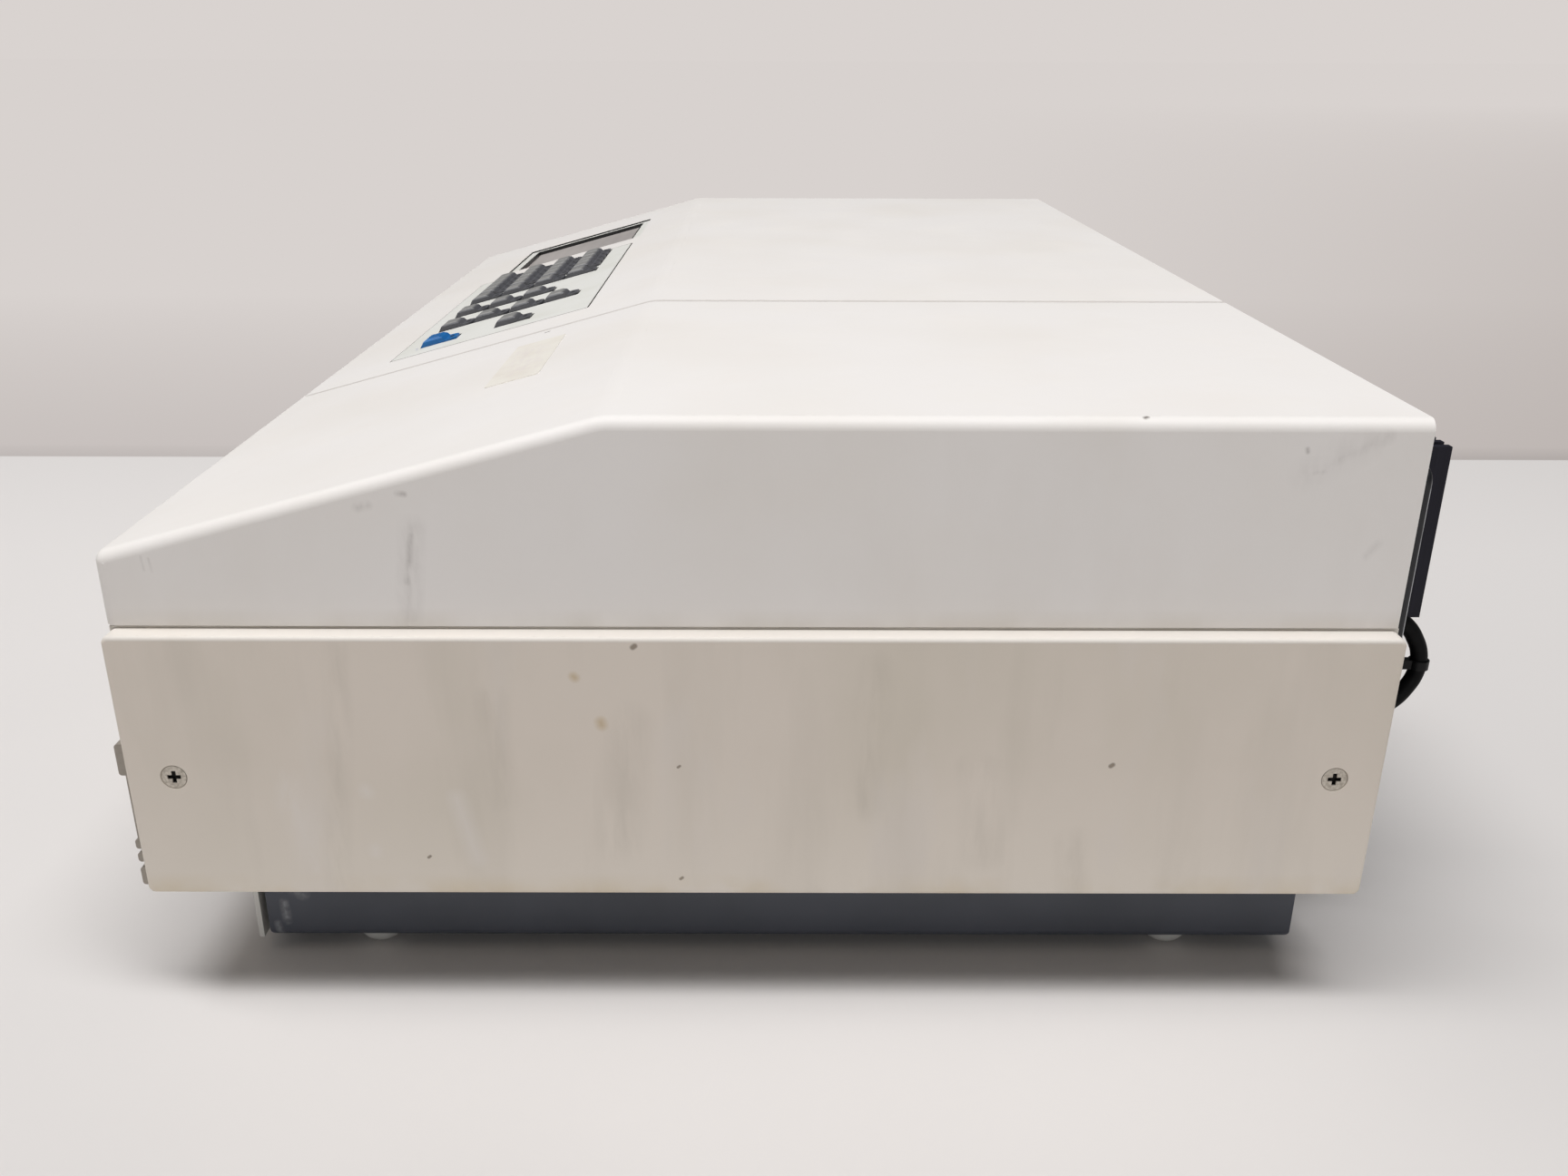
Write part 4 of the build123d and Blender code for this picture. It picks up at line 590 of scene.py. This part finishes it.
skin = cover.blend(warm, tint(238, 234, 231), tint(235, 230, 225))
skin = cover.blend(cloudy * 0.45, skin, tint(231, 226, 221))
broken = cover.noise(0.5, 5.0, (1, 1, 0.35)).over(0.35, 0.62)
rubbed = cover.stroke(side_plane, (-94.3, 131), (-96.4, 119), 1.5) * 0.3
for start, end, width, weight in (
    ((-94.0, 133), (-97.5, 104), 4.0, 0.12),
    ((135.0, 156), (124.0, 150), 2.6, 0.12),
    ((130.0, 154), (118.0, 147), 5.5, 0.07),
    ((116.9, 153.0), (117.1, 152.3), 0.8, 0.35),
    ((121.5, 147.5), (119.5, 147.2), 1.3, 0.14),
    ((137.5, 129.5), (135.2, 126.5), 1.6, 0.08),
    ((-106.5, 138.0), (-104.0, 138.6), 1.6, 0.18),
    ((-96.8, 141.6), (-95.0, 141.4), 1.0, 0.3),
    ((-158.2, 125.0), (-157.8, 121.5), 0.5, 0.14),
    ((-160.0, 125.5), (-159.7, 122.0), 0.5, 0.1),
):
    rubbed = rubbed.most(cover.stroke(side_plane, start, end, width) * weight)
skin = cover.blend((rubbed * (0.4 + broken) * lid_side).held(), skin, tint(126, 117, 112))
# The cover is darker, in clouds, over the lowest 4 mm of its side.
low_band_tone = cover.noise(0.05, 3.0, (1, 1, 0.3)).over(0.3, 0.6) * (foot_top - cover.z).over(0.0, 4.0)
skin = cover.blend(low_band_tone * 0.3, skin, tint(206, 198, 186))
on_top = (cover.z - flat_top).over(0.0, 1.0)
nicks = cover.stroke("xy", (247.6, 78.8), (247.3, 79.4), 0.8) * on_top
nicks = nicks.most((cover.stroke("xy", (98.6, -83.9), (98.0, -82.7), 0.6) * 2.0).held())
nicks = nicks.most(cover.specks(60.0, 0.4, 0.1, (1, 1, 1), 3.0) * 0.5)
skin = cover.blend(nicks, skin, tint(108, 100, 94))
# Painted shade along the seam between the cover and the lid, also dimming the seam's rounded edges.
seam_shade = (1 - (cover.x - seam_middle).size().over(1.2, 1.7)) * (cover.z - seam_low).over(0.0, 0.5)
skin = cover.blend(seam_shade * 0.5, skin, tint(158, 150, 143))
slope_up = (cover.y - slope_front) * slope_cos + (cover.z - slope_low) * slope_sin
slope_under = (cover.y - slope_front) * slope_sin - (cover.z - slope_low) * slope_cos
# Painted shade: the walls inside the window and the keypad's opening are painted dark.
for low, high, wall_shade_tone in (
    (window_low, window_high, tint(24, 24, 25)),
    (keypad_low, keypad_high, tint(104, 96, 88)),
):
    inside = (cover.x - (low[0] - opening_slack)).least(high[0] + opening_slack - cover.x)
    inside = inside.least(slope_up - (low[1] - opening_slack))
    inside = inside.least(high[1] + opening_slack - slope_up).least(slope_under - 0.1)
    skin = cover.blend(inside.over(0.0, 0.05), skin, wall_shade_tone)
cover.set("Base Color", skin)
cover.set("Roughness", 0.52 + 0.12 * cloudy)
cover.bump(cover.noise(1.6, 4.0) + 0.3 * cover.noise(0.2, 2.0), 0.05, 0.3)
cover.dress("main_cover", "sample_lid")


# Label. A blank cream paper label stuck on the lid's slope, with its corners softened and its
# face rubbed thin in the middle.
def on_slope(x, up, out=0.0):
    """A place on the slope: across, up from its front edge, and out from its surface."""
    return (
        x,
        slope_front + up * slope_cos - out * slope_sin,
        slope_low + up * slope_sin + out * slope_cos,
    )


def plate(name, low, high, bottom, top, corner=0.5, hole=None):
    """A flat plate or ring on the slope, with rounded corners, from bottom to top of its thickness."""
    quarter_steps = 4

    def outline(first, second, radius):
        points = []
        for x, up, start in (
            (second[0] - radius, second[1] - radius, 0),
            (first[0] + radius, second[1] - radius, 90),
            (first[0] + radius, first[1] + radius, 180),
            (second[0] - radius, first[1] + radius, 270),
        ):
            for step in range(quarter_steps + 1):
                angle = radians(start + step * 90 / quarter_steps)
                points.append((x + radius * cos(angle), up + radius * sin(angle)))
        return points

    outer = outline(low, high, corner)
    count = len(outer)
    points = [on_slope(x, up, height) for height in (bottom, top) for x, up in outer]
    faces = [(i, (i + 1) % count, (i + 1) % count + count, i + count) for i in range(count)]
    if hole is None:
        faces += [tuple(range(count, 2 * count)), tuple(reversed(range(count)))]
        return mesh_piece(name, points, faces)
    inner = outline(*hole, 0.4)
    points += [on_slope(x, up, height) for height in (bottom, top) for x, up in inner]
    for i in range(count):
        n = (i + 1) % count
        faces.append((i + 3 * count, n + 3 * count, n + 2 * count, i + 2 * count))
        faces.append((i + count, n + count, n + 3 * count, i + 3 * count))
        faces.append((n, i, i + 2 * count, n + 2 * count))
    return mesh_piece(name, points, faces)


label = plate("blank_label", (113.7, 83.3), (171.7, 99.8), 0.01, 0.12, 0.8)
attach(label, "sample_lid")
paper = Finish("label_cream", tint(233, 228, 219), 0.6)
rub_middle = paper.stroke("xy", (126.0, -84.0), (160.0, -81.0), 9.0)
rub_middle = rub_middle * paper.noise(0.5, 5.0, (0.3, 1, 1)).over(0.4, 0.7)
faded = paper.blend(paper.noise(0.08, 3.0).over(0.4, 0.7), tint(234, 229, 220), tint(228, 221, 211))
paper.set("Base Color", paper.blend(rub_middle * 0.5, faded, tint(221, 211, 211)))
paper.bump(paper.noise(1.5, 4.0), 0.05, 0.5)
paper.dress(label)


# Display and keypad plate. A light frame is let into the ledge of the window, and below it a black
# liner stands round a pinkish grey panel behind clear plastic. The keypad plate is let into the
# slope beside it and is of the frame's grey-green plastic, with painted shade on its cut edge.
surround_width, surround_gap, liner_wall = 4.2, 0.15, 0.7
sight_low = (window_low[0] + surround_width, window_low[1] + surround_width)
sight_high = (window_high[0] - surround_width, window_high[1] - surround_width)
surround = plate(
    "display_surround",
    (window_low[0] + surround_gap, window_low[1] + surround_gap),
    (window_high[0] - surround_gap, window_high[1] - surround_gap),
    -0.99,
    -0.75,
    0.5,
    (sight_low, sight_high),
)
liner = plate(
    "display_liner",
    (sight_low[0] + 0.02, sight_low[1] + 0.02),
    (sight_high[0] - 0.02, sight_high[1] - 0.02),
    -2.39,
    -0.72,
    0.5,
    (
        (sight_low[0] + liner_wall, sight_low[1] + liner_wall),
        (sight_high[0] - liner_wall, sight_high[1] - liner_wall),
    ),
)
for piece, slot in ((surround, "plate_plastic"), (liner, "black_plastic")):
    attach(piece, "instrument")
grey_green = Finish("plate_grey_green", tint(236, 235, 230), 0.45)
plate_cloud = grey_green.noise(0.05, 3.0).over(0.4, 0.7)
plate_tone = grey_green.blend(plate_cloud, tint(237, 236, 231), tint(231, 230, 223))
pen = grey_green.stroke("xy", (-2.0, -106.5), (2.5, -104.0), 0.9)
pen = pen.most(grey_green.stroke("xy", (14.0, -118.0), (17.0, -116.6), 0.7))
pen = pen.most(grey_green.stroke("xy", (50.0, -140.5), (55.0, -139.2), 0.7))
pen = pen * grey_green.noise(1.2, 3.0).over(0.4, 0.6)
plate_tone = grey_green.blend(pen * 0.8, plate_tone, tint(150, 156, 190))
plate_under = (grey_green.y - slope_front) * slope_sin - (grey_green.z - slope_low) * slope_cos
plate_start, plate_end = -110.0, 65.1
# Painted shade: the plate's cut edge, and a band at its right-hand end, are painted dark.
cut_edge_shade = plate_under.over(0.12, 0.18) * (grey_green.x - plate_start).over(0.0, 1.0)
cut_edge_shade = cut_edge_shade.most((grey_green.x - plate_end).over(0.0, 0.3) * 0.8)
grey_green.set("Base Color", grey_green.blend(cut_edge_shade, plate_tone, tint(92, 84, 76)))
grey_green.bump(grey_green.noise(1.6, 4.0), 0.04, 0.3)
grey_green.dress(surround, "keypad_plate")

black_wall = Finish("liner_black", tint(20, 20, 20), 0.4)
black_wall.bump(black_wall.noise(2.0, 3.0), 0.03, 0.3)
black_wall.dress(liner)

screen = Finish("display_panel", tint(186, 179, 175), 0.4, coat_weight=0.3, coat_roughness=0.25)
screen_cloud = screen.noise(0.03, 2.0).over(0.4, 0.7)
panel_tone = screen.blend(screen_cloud, tint(196, 189, 185), tint(184, 177, 174))
panel_rows = ((screen.y * 0.9 + screen.z * 0.25).maths("SINE") * 0.5 + 0.5) * 0.06
screen.set("Base Color", screen.blend(panel_rows, panel_tone, tint(120, 116, 114)))
screen.dress("display_module")


# Keys. Double-height caps: a sloped hump in front for the finger and a low tab behind it, with a
# small dark mark printed on the tab. All are grey but the start key, which is blue.
key_tone = Finish("key_grey", tint(100, 99, 101), 0.5)
handled = key_tone.noise(0.12, 3.0).over(0.4, 0.7)
key_rise = (key_tone.z - slope_low) * slope_cos - (key_tone.y - slope_front) * slope_sin
key_wear_and_top_highlight = key_tone.blend(handled, tint(88, 88, 93), tint(80, 80, 84))
# Painted highlight: the tops of the humps are painted lighter.
key_wear_and_top_highlight = key_tone.blend(key_rise.over(1.9, 2.35), key_wear_and_top_highlight, tint(142, 141, 139))
# Painted shade: the parts of each key lower than the slope's surface are painted dark.
key_tone.set("Base Color", key_tone.blend(key_rise.over(-0.3, 0.3), tint(48, 48, 50), key_wear_and_top_highlight))
key_tone.set("Roughness", 0.5 - 0.12 * handled)
key_tone.bump(key_tone.noise(2.2, 4.0), 0.05, 0.4)
blue_tone = Finish("key_blue", tint(0, 98, 176), 0.42)
blue_tone.mottle(0.2, tint(0, 108, 178), tint(0, 92, 158))
blue_tone.bump(blue_tone.noise(2.2, 4.0), 0.05, 0.4)
key_names = [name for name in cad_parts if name.startswith(("function_key", "pad_key"))]
key_tone.dress(*key_names)
blue_tone.dress("start_key")

ink = Finish("mark_ink", tint(42, 42, 46), 0.45)
ink.set("Roughness", 0.4 + 0.2 * ink.noise(2.0, 3.0))
first_row, row_pitch, row_count = 33.8, 14.5, 4
first_column, column_pitch, column_count = -58.2, 10.5, 5
start_column = 47.5
mark_up, mark_top, mark_steps = 11.7, 0.6, 16
mark_half_width, mark_half_depth = 1.5, 1.0
mark_spots = {"start_key": [(start_column, 0)]}
number = 0
for x, rows in (
    (start_column, (2,)),
    (17.2, (0, 1, 2, 3)),
    (-13.2, (0, 1, 2)),
    (-43.5, (0, 1, 2, 3)),
):
    for row in rows:
        number += 1
        mark_spots[f"function_key_{number}"] = [(x, row)]
for column in range(column_count - 1):
    for row in range(row_count):
        x = first_column - column * column_pitch
        mark_spots[f"pad_key_{column * row_count + row + 1}"] = [(x, row)]
last_column = first_column - (column_count - 1) * column_pitch
mark_spots["pad_key_column"] = [(last_column, row) for row in range(row_count)]
for name, spots in mark_spots.items():
    points, faces = [], []
    for x, row in spots:
        first = len(points)
        up = first_row + row * row_pitch + mark_up
        for step in range(mark_steps):
            angle = 2 * pi * step / mark_steps
            mark_x = x + mark_half_width * cos(angle)
            points.append(on_slope(mark_x, up + mark_half_depth * sin(angle), mark_top + 0.03))
        faces.append(tuple(range(first, first + mark_steps)))
    mark = mesh_piece(f"mark_{name}", points, faces)
    ink.dress(mark)
    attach(mark, name)
    "blue_key" if name == "start_key" else "grey_key"
